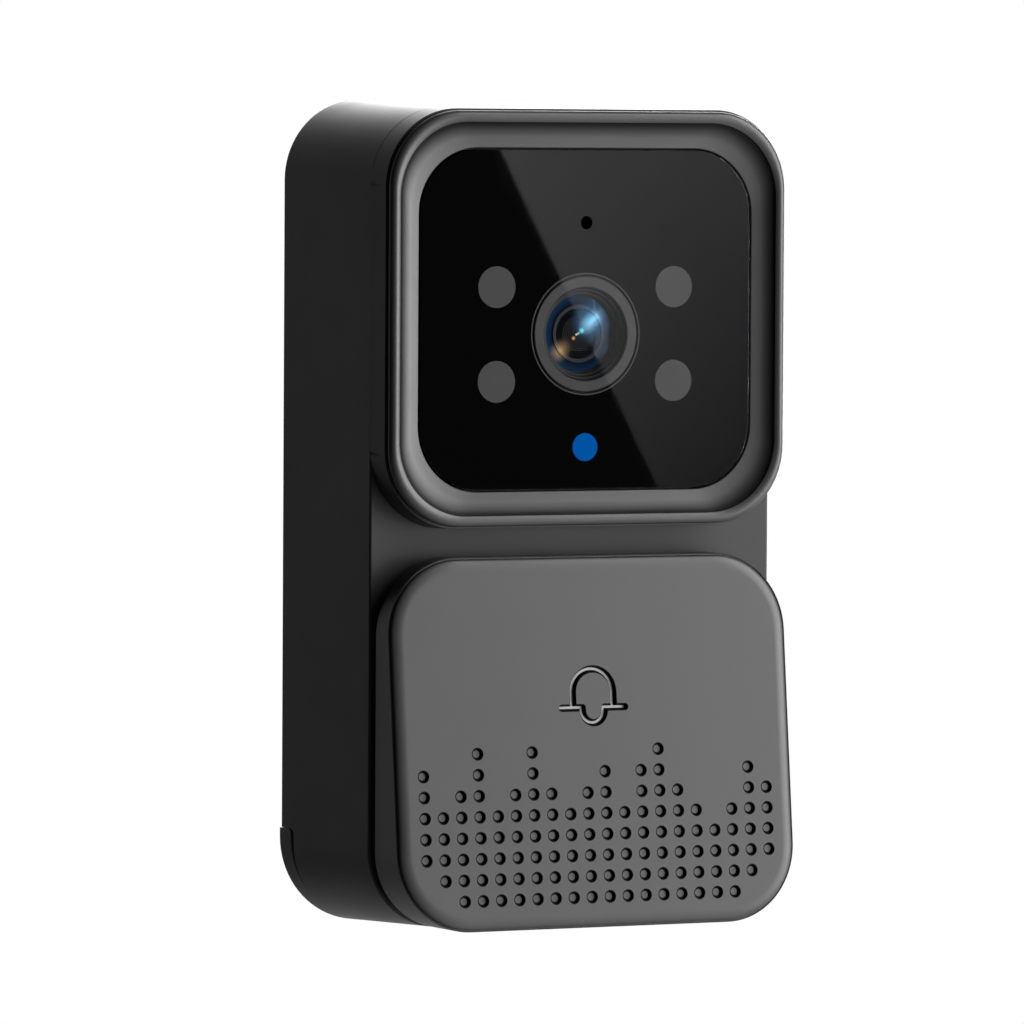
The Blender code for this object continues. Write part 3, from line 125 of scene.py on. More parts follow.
OPENING_HALF_X = 16.7 * MM  # the opening in the seat behind the window
OPENING_LOW_Z = 5.3 * MM
OPENING_HIGH_Z = 35.3 * MM
OPENING_RADIUS = 3.0 * MM
OPENING_Y = -17.0 * MM
SEAT_Y = -20.7 * MM
SEAT_INSET = 1.4 * MM
GLASS_RADIUS = 6.5 * MM
GLASS_Y = GLASS_LOW.y
PANE_THICKNESS = 0.1 * MM  # the clear gloss layer in front of the print
PRINT_Y = GLASS_Y + PANE_THICKNESS + 0.02 * MM
PRINT_BACK_Y = GLASS_HIGH.y
INFRARED_RADIUS = 2.12 * MM
STATUS_RADIUS = 1.43 * MM
STATUS_STEM_RADIUS = 1.1 * MM
STATUS_STEM_Y = -20.0 * MM
MIC_RADIUS = 0.675 * MM
MIC_PLACE = middle("microphone")
STATUS_PLACE = middle("status_light_pipe")
INFRARED_NODES = [f"ir_window_{number}" for number in range(1, 5)]
PRINT_GAP = 0.02 * MM

LENS_X, LENS_Z = LENS_PLACE = middle("lens_trim_ring")
LENS_RIM = 6.25 * MM  # radii of the lens, from the outside in
LENS_RING = 5.89 * MM
LENS_RING_INNER = 4.79 * MM
LENS_GLASS = 3.88 * MM
LENS_STOP = 2.95 * MM
LENS_STOP_INNER = 2.6 * MM
LENS_FINE_RINGS = 1.75 * MM
LENS_PITCH = 0.21 * MM
LENS_GLASS_Y = PRINT_Y + 1.45 * MM
LENS_BACK_Y = -16.4 * MM
LENS_RING_BACK_Y = -20.1 * MM
LENS_GROOVE_DEPTH = 0.45 * MM  # the dark groove round the grey ring
LENS_BULGE = 0.32 * MM

# ---- Push plate ----
PLATE_RADIUS = 8.0 * MM
PLATE_SLOPE = 3.86 / 37.87  # how far the face falls back over its height
SKIRT_BACK_Y = -20.53 * MM
SKIRT_WALL = 1.4 * MM
FACE_WALL = 0.6 * MM
FACE_EDGE_WIDTH = 1.3 * MM  # the face's edge is a flat quarter ellipse
FACE_EDGE_DEPTH = 0.4 * MM
FACE_SEAM = 0.22 * MM  # the fine line between the face and the skirt's front edge
# The seam's section: share of its width, and depth below the face's edge.
SEAM_STEPS = ((0.9, 0.16 * MM), (0.45, 0.16 * MM), (0.35, 0.03 * MM), (0.0, 0.1 * MM))
SKIRT_EDGE = 0.12 * MM
COLLAR_FRONT_Y = -21.1 * MM
COLLAR_INSET = 1.8 * MM
COLLAR_WALL = 1.2 * MM
POST_PLACES = [(x * MM, z * MM) for z in (-9.0, -20.5) for x in (-17.0, 17.0)]
POST_RADIUS = 1.5 * MM
POST_ROOT = 0.4 * MM  # how far behind the sloping face the posts start
POST_BACK_Y = -17.0 * MM
POST_GAP = 0.3 * MM
BARB_RADIUS = 2.1 * MM
BARB_SPAN = (-17.6 * MM, -17.2 * MM)
ACTUATOR_RADIUS = 1.8 * MM
ACTUATOR_BACK_Y = -16.4 * MM
ACTUATOR_GAP = 0.5 * MM
SWITCH_Z = -13.0 * MM
SPEAKER_Z = -27.5 * MM
SPEAKER_RADIUS = 8.0 * MM
DUST_HALF_X = 20.9 * MM
DUST_LOW_Z = -40.1 * MM
DUST_HIGH_Z = -22.3 * MM
DUST_RADIUS = 6.3 * MM
DUST_SPAN = (FACE_WALL + 0.02 * MM, FACE_WALL + 0.3 * MM)  # depths behind the face

HOLE_RADIUS = 0.66 * MM
HOLE_FLOOR_RADIUS = 0.38 * MM
HOLE_DEPTH = 0.34 * MM
HOLE_SIDES = 24
HOLE_PITCH_X = 2.074 * MM
HOLE_PITCH_Z = 2.121 * MM
HOLE_TOP_Z = -23.82 * MM
# First and last row of holes in each column, left to right: the outline of an equaliser.
HOLE_COLUMNS = (
    (2, 6), (4, 7), (3, 8), (1, 8), (4, 8), (3, 8), (1, 8), (3, 8), (4, 8), (3, 8),
    (2, 8), (4, 8), (2, 8), (1, 8), (3, 8), (4, 8), (5, 8), (4, 8), (2, 7), (3, 6),
)
BELL_Z = -17.83 * MM  # centre of the bell's dome
BELL_DOME_RADIUS = 2.33 * MM
BELL_BASE_Z = -19.42 * MM
BELL_HALF_BASE = 3.63 * MM
CLAPPER_RADIUS = 1.26 * MM
CLAPPER_DROP = 0.3 * MM
GROOVE_HALF = 0.38 * MM
GROOVE_FLOOR_HALF = 0.13 * MM
GROOVE_DEPTH = 0.42 * MM
GROOVE_STEP = 0.006 * MM  # from stroke to stroke, so that crossing strokes share no floor

# ---- Bracket, its foot and the underside ----
FOOT_TOP_Z = -32.75 * MM
FOOT_Y = -2.7 * MM
FOOT_PROUD = 0.08 * MM
FOOT_CORNER = 0.6 * MM
FOOT_SEAM = 0.42 * MM  # the gap ahead of the foot
FOOT_GAP = 0.04 * MM  # the gap above it
FOOT_FRONT_EDGE = 0.12 * MM
FOOT_BACK_EDGE = 0.3 * MM
FOOT_CORNER_EXTRA = 0.25 * MM  # the foot's lower corners are that much rounder than the body's
FOOT_RIM_HALF_X = 22.4 * MM
FOOT_RIM_RADIUS = 6.9 * MM
BRACKET_Y = -2.2 * MM
BRACKET_HALF_X = 21.9 * MM
BRACKET_HALF_Z = 40.7 * MM
BRACKET_RADIUS = 6.5 * MM
HOOK_PLACES = [(side * 9.5 * MM, base) for base in (31.0 * MM, -31.0 * MM) for side in (-1, 1)]
HOOK_HALF_X = 2.6 * MM
HOOK_FRONT_Y = -5.6 * MM
HOOK_HEIGHT = 2.0 * MM
HOOK_LIP_Y = -4.4 * MM
HOOK_LIP_HEIGHT = 5.6 * MM
TONGUE_HALF_X = 5.0 * MM
TONGUE_FRONT_Y = -9.4 * MM
ROOT_Y = -1.0 * MM  # the tongue and hooks run back into the bracket's plate to here
TONGUE_HIGH_Z = -41.2 * MM
TONGUE_LOW_Z = -42.3 * MM
LOCK_Y = (SCREW_LOW.y + SCREW_HIGH.y) / 2
WALL_HOLE_Z = 24.0 * MM
WALL_HOLE_RADIUS = 2.1 * MM
WALL_SINK_RADIUS = 3.9 * MM
LOCK_SINK_RADIUS = 2.1 * MM
PORT_Y = -13.1 * MM
PORT_HALF_X = 5.2 * MM
PORT_HALF_Y = 2.0 * MM
PORT_RADIUS = 1.6 * MM
PORT_HIGH_Z = -38.0 * MM
FLAP_X = (FLAP_LOW.x + FLAP_HIGH.x) / 2
FLAP_HALF_X = (FLAP_HIGH.x - FLAP_LOW.x) / 2
FLAP_THICKNESS = 0.9 * MM
FLAP_RADIUS = 0.35 * MM
FLAP_RECESS_RADIUS = 0.2 * MM
BUNG_HALF_X = 4.3 * MM
BUNG_HALF_Y = 1.5 * MM
BUNG_RADIUS = 1.2 * MM
CLEARANCE = 0.25 * MM
FAR = 70 * MM


# ---- Mesh tools ----
def add_object(name, data):
    piece = bpy.data.objects.new(name, data)
    bpy.context.scene.collection.objects.link(piece)
    return piece


def from_bmesh(name, shape):
    bmesh.ops.recalc_face_normals(shape, faces=shape.faces)
    mesh = bpy.data.meshes.new(name)
    shape.to_mesh(mesh)
    shape.free()
    return add_object(name, mesh)


def add_skin(shape, rings, closed=False):
    """Add faces through rings of points: capped at both ends, or closed on themselves."""
    loops = [[shape.verts.new(point) for point in ring] for ring in rings]
    pairs = list(zip(loops, loops[1:]))
    if closed:
        pairs.append((loops[-1], loops[0]))
    else:
        shape.faces.new(loops[0])
        shape.faces.new(loops[-1])
    for loop, following in pairs:
        for step in range(len(loop)):
            after = (step + 1) % len(loop)
            shape.faces.new((loop[step], loop[after], following[after], following[step]))


def skin(name, rings, closed=False):
    shape = bmesh.new()
    add_skin(shape, rings, closed)
    return from_bmesh(name, shape)


def rounded(half_u, low_v, high_v, radius, steps=CORNER_STEPS, middle_u=0.0):
    """Points (u, v) round a rectangle with round corners."""
    middle_v = (low_v + high_v) / 2
    half_v = (high_v - low_v) / 2
    points = []
    for quarter in range(4):
        side_u = 1 if quarter in (0, 3) else -1
        side_v = 1 if quarter in (0, 1) else -1
        for step in range(steps + 1):
            angle = (quarter + step / steps) * math.pi / 2
            points.append((
                middle_u + side_u * (half_u - radius) + radius * math.cos(angle),
                middle_v + side_v * (half_v - radius) + radius * math.sin(angle),
            ))
    return points


def circle(place, radius, sides=64):
    turn = 2 * math.pi / sides
    return [
        (place[0] + radius * math.cos(turn * step), place[1] + radius * math.sin(turn * step))
        for step in range(sides)
    ]


def at_depth(points, y):
    """(x, z) points at one depth."""
    return [(x, y, z) for x, z in points]


def at_height(points, z):
    """(x, y) points at one height."""
    return [(x, y, z) for x, y in points]


def quarter(steps):
    """Pairs over a quarter turn: 1 - cos, which grows to 1, and 1 - sin, which shrinks to 0."""
    angles = [step / steps * math.pi / 2 for step in range(steps + 1)]
    return [(1 - math.cos(angle), 1 - math.sin(angle)) for angle in angles]


def edge_steps(start, end, start_edge, end_edge):
    """(inset, depth) from one face of a slab to the other, with both edges rounded."""
    way = 1 if end > start else -1
    line = [(start_edge * shrink, start + way * start_edge * grow) for grow, shrink in quarter(4)]
    line += [(end_edge * grow, end - way * end_edge * shrink) for grow, shrink in quarter(4)]
    return line


def slab(name, outline, start, end, start_edge=0.0, end_edge=0.0, lay=at_depth):
    """A slab between two depths or heights; outline(inset) gives its points."""
    line = edge_steps(start, end, start_edge, end_edge)
    return skin(name, [lay(outline(inset), depth) for inset, depth in line])


def pad(name, half_u, low_v, high_v, radius, *span, steps=8, middle_u=0.0, lay=at_depth):
    """A slab with a rounded rectangle as outline; span holds its two ends and their edges."""
    def outline(inset):
        return rounded(
            half_u - inset, low_v + inset, high_v - inset, radius - inset, steps, middle_u
        )
    return slab(name, outline, *span, lay=lay)


def box(name, low, high):
    low, high = Vector(low), Vector(high)
    shape = bmesh.new()
    bmesh.ops.create_cube(shape, size=1.0)
    bmesh.ops.scale(shape, vec=high - low, verts=shape.verts)
    bmesh.ops.translate(shape, vec=(high + low) / 2, verts=shape.verts)
    return from_bmesh(name, shape)


def prism(name, outline, low_x, high_x):
    """A solid along X from an outline of (y, z) points."""
    rings = [[(x, y, z) for y, z in outline] for x in (low_x, high_x)]
    return skin(name, rings)


def lathe(name, profile, place, sides=96, upright=False):
    """A turned piece from a closed or axis-to-axis profile of (radius, depth) points.

    It turns about the line through (x, z) along Y, or with upright through (x, y) along Z.
    """
    shape = bmesh.new()
    rows = []
    for radius, depth in profile:
        if radius == 0.0:
            spot = (place[0], place[1], depth) if upright else (place[0], depth, place[1])
            rows.append([shape.verts.new(spot)])
            continue
        lay = at_height if upright else at_depth
        rows.append([shape.verts.new(spot) for spot in lay(circle(place, radius, sides), depth)])
    pairs = list(zip(rows, rows[1:]))
    if len(rows[0]) > 1:
        pairs.append((rows[-1], rows[0]))
    for row, following in pairs:
        for step in range(sides):
            after = (step + 1) % sides
            corners = [row[step % len(row)], row[after % len(row)]]
            corners += [following[after % len(following)], following[step % len(following)]]
            shape.faces.new(list(dict.fromkeys(corners)))
    return from_bmesh(name, shape)


def change(piece, tool, operation):
    """Join or cut with another object, and remove that object."""
    boolean = piece.modifiers.new("change", "BOOLEAN")
    boolean.operation = operation
    boolean.solver = "EXACT"
    boolean.object = tool
    bpy.context.view_layer.update()
    evaluated = piece.evaluated_get(bpy.context.evaluated_depsgraph_get())
    mesh = bpy.data.meshes.new_from_object(evaluated)
    piece.modifiers.clear()
    piece.data = mesh
    bpy.data.objects.remove(tool, do_unlink=True)


def join(piece, *tools):
    for tool in tools:
        change(piece, tool, "UNION")


def cut(piece, *tools):
    for tool in tools:
        change(piece, tool, "DIFFERENCE")


def complete(piece, materials, body, slot, *nodes, angle=32):
    """Shade a piece, give it its materials and hang it on its body in place of CAD nodes."""
    piece.data.shade_smooth()
    piece.data.set_sharp_from_angle(angle=math.radians(angle))
    even = piece.modifiers.new("even_normals", "WEIGHTED_NORMAL")
    even.keep_sharp = True
    piece.data.materials.clear()
    for material in materials:
        piece.data.materials.append(material)
    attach(piece, body)
    if nodes:
        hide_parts(*nodes)
    return piece


# ---- Materials ----
def new_material(name):
    material = bpy.data.materials.new(name)
    material.use_nodes = True
    tree = material.node_tree
    return material, tree, tree.nodes["Principled BSDF"]


def feed(tree, node, **values):
    """Set or link a node's inputs by name; an underscore stands for a space."""
    for name, value in values.items():
        socket = node.inputs[name.replace("_", " ")]
        if isinstance(value, bpy.types.NodeSocket):
            tree.links.new(value, socket)
        else:
            socket.default_value = value


def add_node(tree, kind, **values):
    node = tree.nodes.new("ShaderNode" + kind)
    feed(tree, node, **values)
    return node


def object_space(tree):
    return add_node(tree, "TexCoord").outputs["Object"]


def object_place(tree):
    """The X, Y and Z of a point in the object's own space."""
    return add_node(tree, "SeparateXYZ", Vector=object_space(tree)).outputs


def show(tree, shader):
    """Make a shader node the surface of its material."""
    feed(tree, tree.nodes["Material Output"], Surface=shader.outputs[0])


def show_mix(tree, share, first, second):
    mix = add_node(tree, "MixShader", Fac=share)
    for node, socket in ((first, mix.inputs[1]), (second, mix.inputs[2])):
        tree.links.new(node.outputs[0], socket)
    show(tree, mix)


def noise(tree, size, detail=2.0):
    """A noise texture in the object's own space, with features of about that size."""
    texture = add_node(
        tree, "TexNoise", Vector=object_space(tree), Scale=1 / size, Detail=detail
    )
    return texture.outputs["Fac"]


def ranged(tree, value, low, high, start=0.3, end=0.7):
    """Map a value's band from start to end onto low to high."""
    spread = add_node(
        tree, "MapRange", Value=value, From_Min=start, From_Max=end, To_Min=low, To_Max=high
    )
    return spread.outputs["Result"]


def calculate(tree, operation, *values):
    node = add_node(tree, "Math")
    node.operation = operation
    for socket, value in zip(node.inputs, values):
        if isinstance(value, (int, float)):
            socket.default_value = value
        else:
            tree.links.new(value, socket)
    return node.outputs[0]


def blend_colours(tree, factor, first, second, kind="MIX"):
    mix = add_node(tree, "Mix")  # inputs 0, 6 and 7 and output 2 are those for colours
    mix.data_type = "RGBA"
    mix.blend_type = kind
    for socket, colour in ((mix.inputs[6], first), (mix.inputs[7], second)):
        if isinstance(colour, (tuple, list)):
            socket.default_value = (*colour, 1.0)
        else:
            tree.links.new(colour, socket)
    tree.links.new(factor, mix.inputs[0])
    return mix.outputs[2]


def bump(tree, shader, height, strength, distance):
    relief = add_node(tree, "Bump", Height=height, Strength=strength, Distance=distance)
    feed(tree, shader, Normal=relief.outputs["Normal"])


def moulded(
    name, colour, roughness, grain=0.35, grain_size=0.11 * MM, variation=0.08,
    metallic=0.0, gloss=0.5,
):
    """A moulded or plated surface with a fine grain, slightly uneven in colour and gloss."""
    material, tree, shader = new_material(name)
    fine = noise(tree, grain_size)
    broad = noise(tree, 9 * MM, detail=3.0)
    dark = [channel * (1 - variation) for channel in colour]
    light = [channel * (1 + variation) for channel in colour]
    shade = blend_colours(tree, ranged(tree, fine, 0.0, 1.0), dark, light)
    polish = ranged(tree, broad, roughness * 0.94, roughness * 1.06)
    feed(tree, shader, Base_Color=shade, Roughness=polish)
    feed(tree, shader, Metallic=metallic, Specular_IOR_Level=gloss)
    bump(tree, shader, fine, grain, 0.012 * MM)
    return material


def bezel_with_painted_hollow_shade(name):
    """The bezel's satin plastic, with painted shade: a dark matt band in the hollow behind its outer
    ridge, where shade falls.
    """
    material = moulded(name, (0.018, 0.018, 0.0183), 0.38, grain=1.0)
    tree = material.node_tree
    stored = add_node(tree, "Attribute")
    stored.attribute_name = "inset"
    inset = stored.outputs["Fac"]
    behind = ranged(tree, inset, 0.0, 1.0, BEZEL_RIDGE_END - 0.01 * MM, BEZEL_RIDGE_END + 0.02 * MM)
    fading = ranged(tree, inset, 0.9, 0.0, BEZEL_RIDGE_END + 0.25 * MM, BEZEL_RIDGE_END + 1.4 * MM)
    # Painted shade: a near-black matt shader mixed in over the hollow behind the ridge, fading towards
    # the glass.
    hollow_shade = add_node(tree, "BsdfDiffuse", Color=(0.006, 0.006, 0.006, 1.0))
    share = calculate(tree, "MULTIPLY", behind, fading)
    show_mix(tree, share, tree.nodes["Principled BSDF"], hollow_shade)
    return material


def printed_board(name, mask, track):
    """Solder mask over copper tracks and pads."""
    material, tree, shader = new_material(name)
    spin = add_node(
        tree, "Mapping", Vector=object_space(tree), Rotation=(math.pi / 2, 0.0, 0.0)
    )
    tracks = add_node(
        tree, "TexBrick", Vector=spin.outputs["Vector"], Scale=1 / (4 * MM), Mortar_Size=0.05
    )
    shade = blend_colours(tree, tracks.outputs["Fac"], mask, track)
    polish = ranged(tree, noise(tree, 3 * MM), 0.3, 0.45)
    feed(tree, shader, Base_Color=shade, Roughness=polish)
    bump(tree, shader, tracks.outputs["Fac"], 0.4, 0.03 * MM)
    return material


def clear_gloss(name, tint, head_on, roughness=0.015, coat=(1.0, 1.0, 1.0)):
    """A clear layer: it passes tinted light, and mirrors more of it at a slant."""
    material, tree, shader = new_material(name)
    tree.nodes.remove(shader)
    through = add_node(tree, "BsdfTransparent", Color=(*tint, 1.0))
    faint = [0.94 * channel for channel in coat]
    smear = ranged(tree, noise(tree, 14 * MM, detail=1.0), 0.0, 1.0)
    shade = blend_colours(tree, smear, faint, coat)
    mirror = add_node(tree, "BsdfAnisotropic", Color=shade, Roughness=roughness)
    slant = add_node(tree, "LayerWeight").outputs["Facing"]
    share = calculate(tree, "POWER", slant, 5.0)
    share = calculate(tree, "MULTIPLY_ADD", share, 1.0 - head_on, head_on)
    show_mix(tree, share, through, mirror)
    return material


def clear_core(name, tint):
    """The inside faces of a clear layer, which only pass light, a little unevenly."""
    material, tree, shader = new_material(name)
    tree.nodes.remove(shader)
    faint = [0.97 * channel for channel in tint]
    uneven = ranged(tree, noise(tree, 5 * MM), 0.0, 1.0)
    shade = blend_colours(tree, uneven, faint, tint)
    show(tree, add_node(tree, "BsdfTransparent", Color=shade))
    return material


# Painted reflections in the lens, added to its colour: colour, place across and up, size, stretch and
# how sharply they fade.
PAINTED_REFLECTION_TURN = math.radians(40)  # the diagonal they are stretched along
PAINTED_REFLECTIONS = (
    ((0.052, 0.208, 0.416), 1.7 * MM, 1.4 * MM, 2.7 * MM, 1.0, 1.5),
    ((0.364, 0.780, 1.000), 1.55 * MM, 1.25 * MM, 1.15 * MM, 1.8, 1.6),
    ((0.312, 0.520, 0.520), 2.0 * MM, 1.65 * MM, 0.6 * MM, 1.0, 2.0),
    ((0.156, 1.000, 1.000), 0.45 * MM, 0.3 * MM, 0.38 * MM, 1.0, 1.2),
    ((0.420, 0.270, 0.120), -2.1 * MM, -1.75 * MM, 1.3 * MM, 1.3, 1.8),
    ((0.950, 0.430, 0.120), -0.50 * MM, -0.46 * MM, 0.27 * MM, 1.0, 1.2),
    ((1.000, 1.000, 0.858), -0.17 * MM, -0.10 * MM, 0.15 * MM, 1.0, 0.9),
    ((1.000, 1.000, 0.858), 0.06 * MM, 0.02 * MM, 0.14 * MM, 1.0, 0.9),
)


def coating_with_painted_reflections(name):
    """The coated elements inside the lens: rings and a blue rim, with painted blue and amber
    reflections (ghosts) added to the colour.
    """
    material, tree, shader = new_material(name)
    place = object_place(tree)
    x = calculate(tree, "SUBTRACT", place["X"], LENS_X)
    z = calculate(tree, "SUBTRACT", place["Z"], LENS_Z)

    def distance(out, up, stretch=1.0):
        """Distance from a point, with the diagonal direction drawn out by stretch."""
        along_x = calculate(tree, "SUBTRACT", x, out)
        along_z = calculate(tree, "SUBTRACT", z, up)
        along = calculate(tree, "MULTIPLY", along_x, math.cos(PAINTED_REFLECTION_TURN) / stretch)
        along = calculate(tree, "MULTIPLY_ADD", along_z, math.sin(PAINTED_REFLECTION_TURN) / stretch, along)
        across = calculate(tree, "MULTIPLY", along_x, -math.sin(PAINTED_REFLECTION_TURN))
        across = calculate(tree, "MULTIPLY_ADD", along_z, math.cos(PAINTED_REFLECTION_TURN), across)
        along = calculate(tree, "MULTIPLY", along, along)
        return calculate(tree, "SQRT", calculate(tree, "MULTIPLY_ADD", across, across, along))

    radius = distance(0.0, 0.0)
    black = (0.0015, 0.0018, 0.0022)
    edge = 0.04 * MM
    rim = ranged(tree, radius, 0.0, 1.0, LENS_STOP, LENS_GLASS - edge)
    shade = blend_colours(tree, rim, black, (0.003, 0.024, 0.066))
    outside = ranged(tree, radius, 0.0, 1.0, LENS_STOP_INNER - edge, LENS_STOP_INNER)
    inside = ranged(tree, radius, 1.0, 0.0, LENS_STOP, LENS_STOP + edge)
    stop = calculate(tree, "MULTIPLY", outside, inside)
    shade = blend_colours(tree, stop, shade, (0.032, 0.036, 0.044))
    wave = calculate(tree, "SINE", calculate(tree, "MULTIPLY", radius, 2 * math.pi / LENS_PITCH))
    fine = ranged(tree, wave, 0.0, 1.0, 0.6, 1.0)
    near = ranged(tree, radius, 1.0, 0.15, LENS_FINE_RINGS, LENS_FINE_RINGS + edge)
    fine = calculate(tree, "MULTIPLY", fine, near)
    shade = blend_colours(tree, fine, shade, (0.070, 0.070, 0.070))
    # Painted reflections: each adds a soft coloured spot onto the lens's colour.
    for light, out, up, size, stretch, power in PAINTED_REFLECTIONS:
        near = ranged(tree, distance(out, up, stretch), 1.0, 0.0, 0.0, size)
        shade = blend_colours(tree, calculate(tree, "POWER", near, power), shade, light, "ADD")
    dim = ranged(tree, wave, 1.0, 0.72, -1.0, -0.4)
    band = blend_colours(tree, dim, (0.0, 0.0, 0.0), shade)
    feed(tree, shader, Base_Color=band, Roughness=0.5, Specular_IOR_Level=0.0)
    bump(tree, shader, wave, 0.15, 0.02 * MM)
    return material


CASING = moulded("casing", (0.017, 0.017, 0.0173), 0.42, gloss=0.28)
FRONT = moulded("push_plate", (0.02, 0.02, 0.0203), 0.42)
# Painted shade: near black for the walls of the holes and the bell's grooves, where shade falls.
PAINTED_HOLE_SHADE = moulded("painted_hole_shade", (0.003, 0.003, 0.003), 0.6, gloss=0.05)
BELL_FLOOR = moulded("bell_floor", (0.3, 0.3, 0.3), 0.5)
# The bezel's material has shade painted into the hollow behind its outer ridge.
BEZEL = bezel_with_painted_hollow_shade("bezel")
BRACKET = moulded("bracket", (0.022, 0.022, 0.0225), 0.5)
INNER = moulded("inner_plastic", (0.03, 0.03, 0.032), 0.55)
RUBBER = moulded("rubber", (0.024, 0.024, 0.024), 0.75, grain_size=0.2 * MM)
PRINT = moulded("mask", (0.0008, 0.0008, 0.0008), 0.6, grain=0.05, gloss=0.0)
INFRARED = moulded("infrared_window", (0.034, 0.034, 0.035), 0.5, grain=0.1, variation=0.03, gloss=0.1)
STATUS = moulded("status", (0.0, 0.062, 0.26), 0.4, grain=0.05, variation=0.03, gloss=0.0)
LENS_METAL = moulded("lens_metal", (0.032, 0.032, 0.033), 0.45, grain=0.1, variation=0.03, gloss=0.1)
LENS_BLACK = moulded("lens_black", (0.01, 0.01, 0.011), 0.6, grain=0.1, gloss=0.12)
# The lens elements' colour carries painted reflections as well as their rings.
LENS_COATING_AND_REFLECTIONS = coating_with_painted_reflections("coating_with_painted_reflections")
STEEL = moulded("steel", (0.56, 0.56, 0.57), 0.3, grain=0.1, metallic=1.0)
MAGNET = moulded("magnet", (0.3, 0.3, 0.31), 0.35, grain=0.1, metallic=1.0)
COPPER = moulded("copper_film", (0.55, 0.25, 0.08), 0.35, grain=0.15, metallic=0.8)
FOIL = moulded("battery_wrap", (0.42, 0.44, 0.46), 0.35, 0.8, 1.5 * MM, metallic=0.5)
WHITE_PLUG = moulded("white_plug", (0.7, 0.69, 0.64), 0.45)
LIGHT_SOURCE = moulded("light_source", (0.8, 0.78, 0.65), 0.35)
SENSOR = moulded("sensor", (0.06, 0.07, 0.09), 0.25, grain=0.05, metallic=0.3)
PAPER = moulded("paper", (0.04, 0.036, 0.032), 0.75, 0.8, 0.4 * MM, variation=0.2)
RED_LEAD = moulded("red_lead", (0.45, 0.015, 0.012), 0.45)
BLACK_LEAD = moulded("black_lead", (0.015, 0.015, 0.015), 0.45)
DUST_MESH = moulded("mesh", (0.11, 0.11, 0.111), 0.6, grain=0.6, grain_size=0.16 * MM)
BOARD = printed_board("board", (0.01, 0.085, 0.035), (0.03, 0.16, 0.06))
PANE = clear_gloss("window", (1.0, 1.0, 1.0), 0.045)
PANE_CORE = clear_core("window_core", (1.0, 1.0, 1.0))
LENS_GLASS_COAT = clear_gloss("lens_glass", (0.96, 0.98, 1.0), 0.004, coat=(0.5, 0.75, 1.0))
FILTER_GLASS = clear_gloss("filter_glass", (0.75, 0.45, 0.48), 0.06)

# Looks of the CAD nodes that show as they are, by name without a number.
NODE_LOOKS = {
    "rear_cover": INNER, "cover_seal": RUBBER, "cover_screw": STEEL, "window_gasket": RUBBER,
    "window_mask": PRINT, "ir_led": LIGHT_SOURCE, "ir_led_board": BOARD, "lens_holder": INNER,
    "ir_cut_filter": FILTER_GLASS, "image_sensor": SENSOR, "camera_board": BOARD,
    "camera_connector": WHITE_PLUG, "status_led": LIGHT_SOURCE, "mic_boot": RUBBER,
    "microphone": STEEL, "main_board": BOARD, "board_screw": STEEL, "wifi_shield": STEEL,
    "processor_chip": INNER, "wifi_antenna": COPPER, "antenna_lead": BLACK_LEAD,
    "speaker_gasket": RUBBER, "speaker_frame": INNER, "speaker_cone": PAPER,
    "speaker_magnet": MAGNET, "battery_pack": FOIL, "battery_plug": WHITE_PLUG,
    "battery_lead_red": RED_LEAD, "battery_lead_black": BLACK_LEAD, "call_switch": INNER,
    "switch_plunger": WHITE_PLUG, "reset_switch": INNER, "reset_button": WHITE_PLUG,
    "usb_socket": STEEL,
}


def dress_nodes():
    for name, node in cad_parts.items():
        look = NODE_LOOKS.get(name.rstrip("0123456789").rstrip("_"))
        if look:
            node.data.materials.clear()
            node.data.materials.append(look)


# ---- Outlines ----
def draft_at(y):
    """How far the body's sides have widened at depth y, counted from the neck plane."""
    return BODY_DRAFT * (y - NECK_Y) / (RIM_Y - NECK_Y)


def body_outline(y, inset=0.0):
    out = draft_at(y) - inset
    radius = CORNER_RADIUS * (1 + draft_at(y) / BODY_HALF_X) - inset
    return rounded(BODY_HALF_X + out, -BODY_HALF_Z - out, BODY_HALF_Z + out, radius)


def module_outline(inset):
    """The camera module's outline, from its outer edge in towards the glass."""
    share = inset / BEZEL_WIDTH
    gap = 0.2 * MM
    return rounded(
        MODULE_HALF_X - inset,
        MODULE_LOW_Z + share * (GLASS_LOW.z - gap - MODULE_LOW_Z),
        MODULE_HIGH_Z - share * (MODULE_HIGH_Z - GLASS_HIGH.z - gap),
        CORNER_RADIUS + share * (GLASS_RADIUS + gap - CORNER_RADIUS),
    )


def glass_outline(inset):
    return rounded(
        GLASS_HIGH.x - inset, GLASS_LOW.z + inset, GLASS_HIGH.z - inset, GLASS_RADIUS - inset
    )


def plate_outline(inset):
    return rounded(
        PLATE_HIGH.x - inset, PLATE_LOW.z + inset, PLATE_HIGH.z - inset, PLATE_RADIUS - inset
    )


def face_y(z):
    """Depth of the push plate's sloping face at height z."""
    return PLATE_LOW.y + PLATE_SLOPE * (z - PLATE_LOW.z)


def on_face(points, depth):
    """(x, z) points laid on a plane at some depth behind the sloping face."""
    return [(x, face_y(z) + depth, z) for x, z in points]


def rod(name, place, front_y, back_y, radius, sides=32):
    """A cylinder-like solid along Y with straight ends."""
    return slab(name, lambda inset: circle(place, radius, sides), front_y, back_y)


def upright_rod(name, place, low_z, high_z, radius, sides=32):
    return slab(name, lambda inset: circle(place, radius, sides), low_z, high_z, lay=at_height)


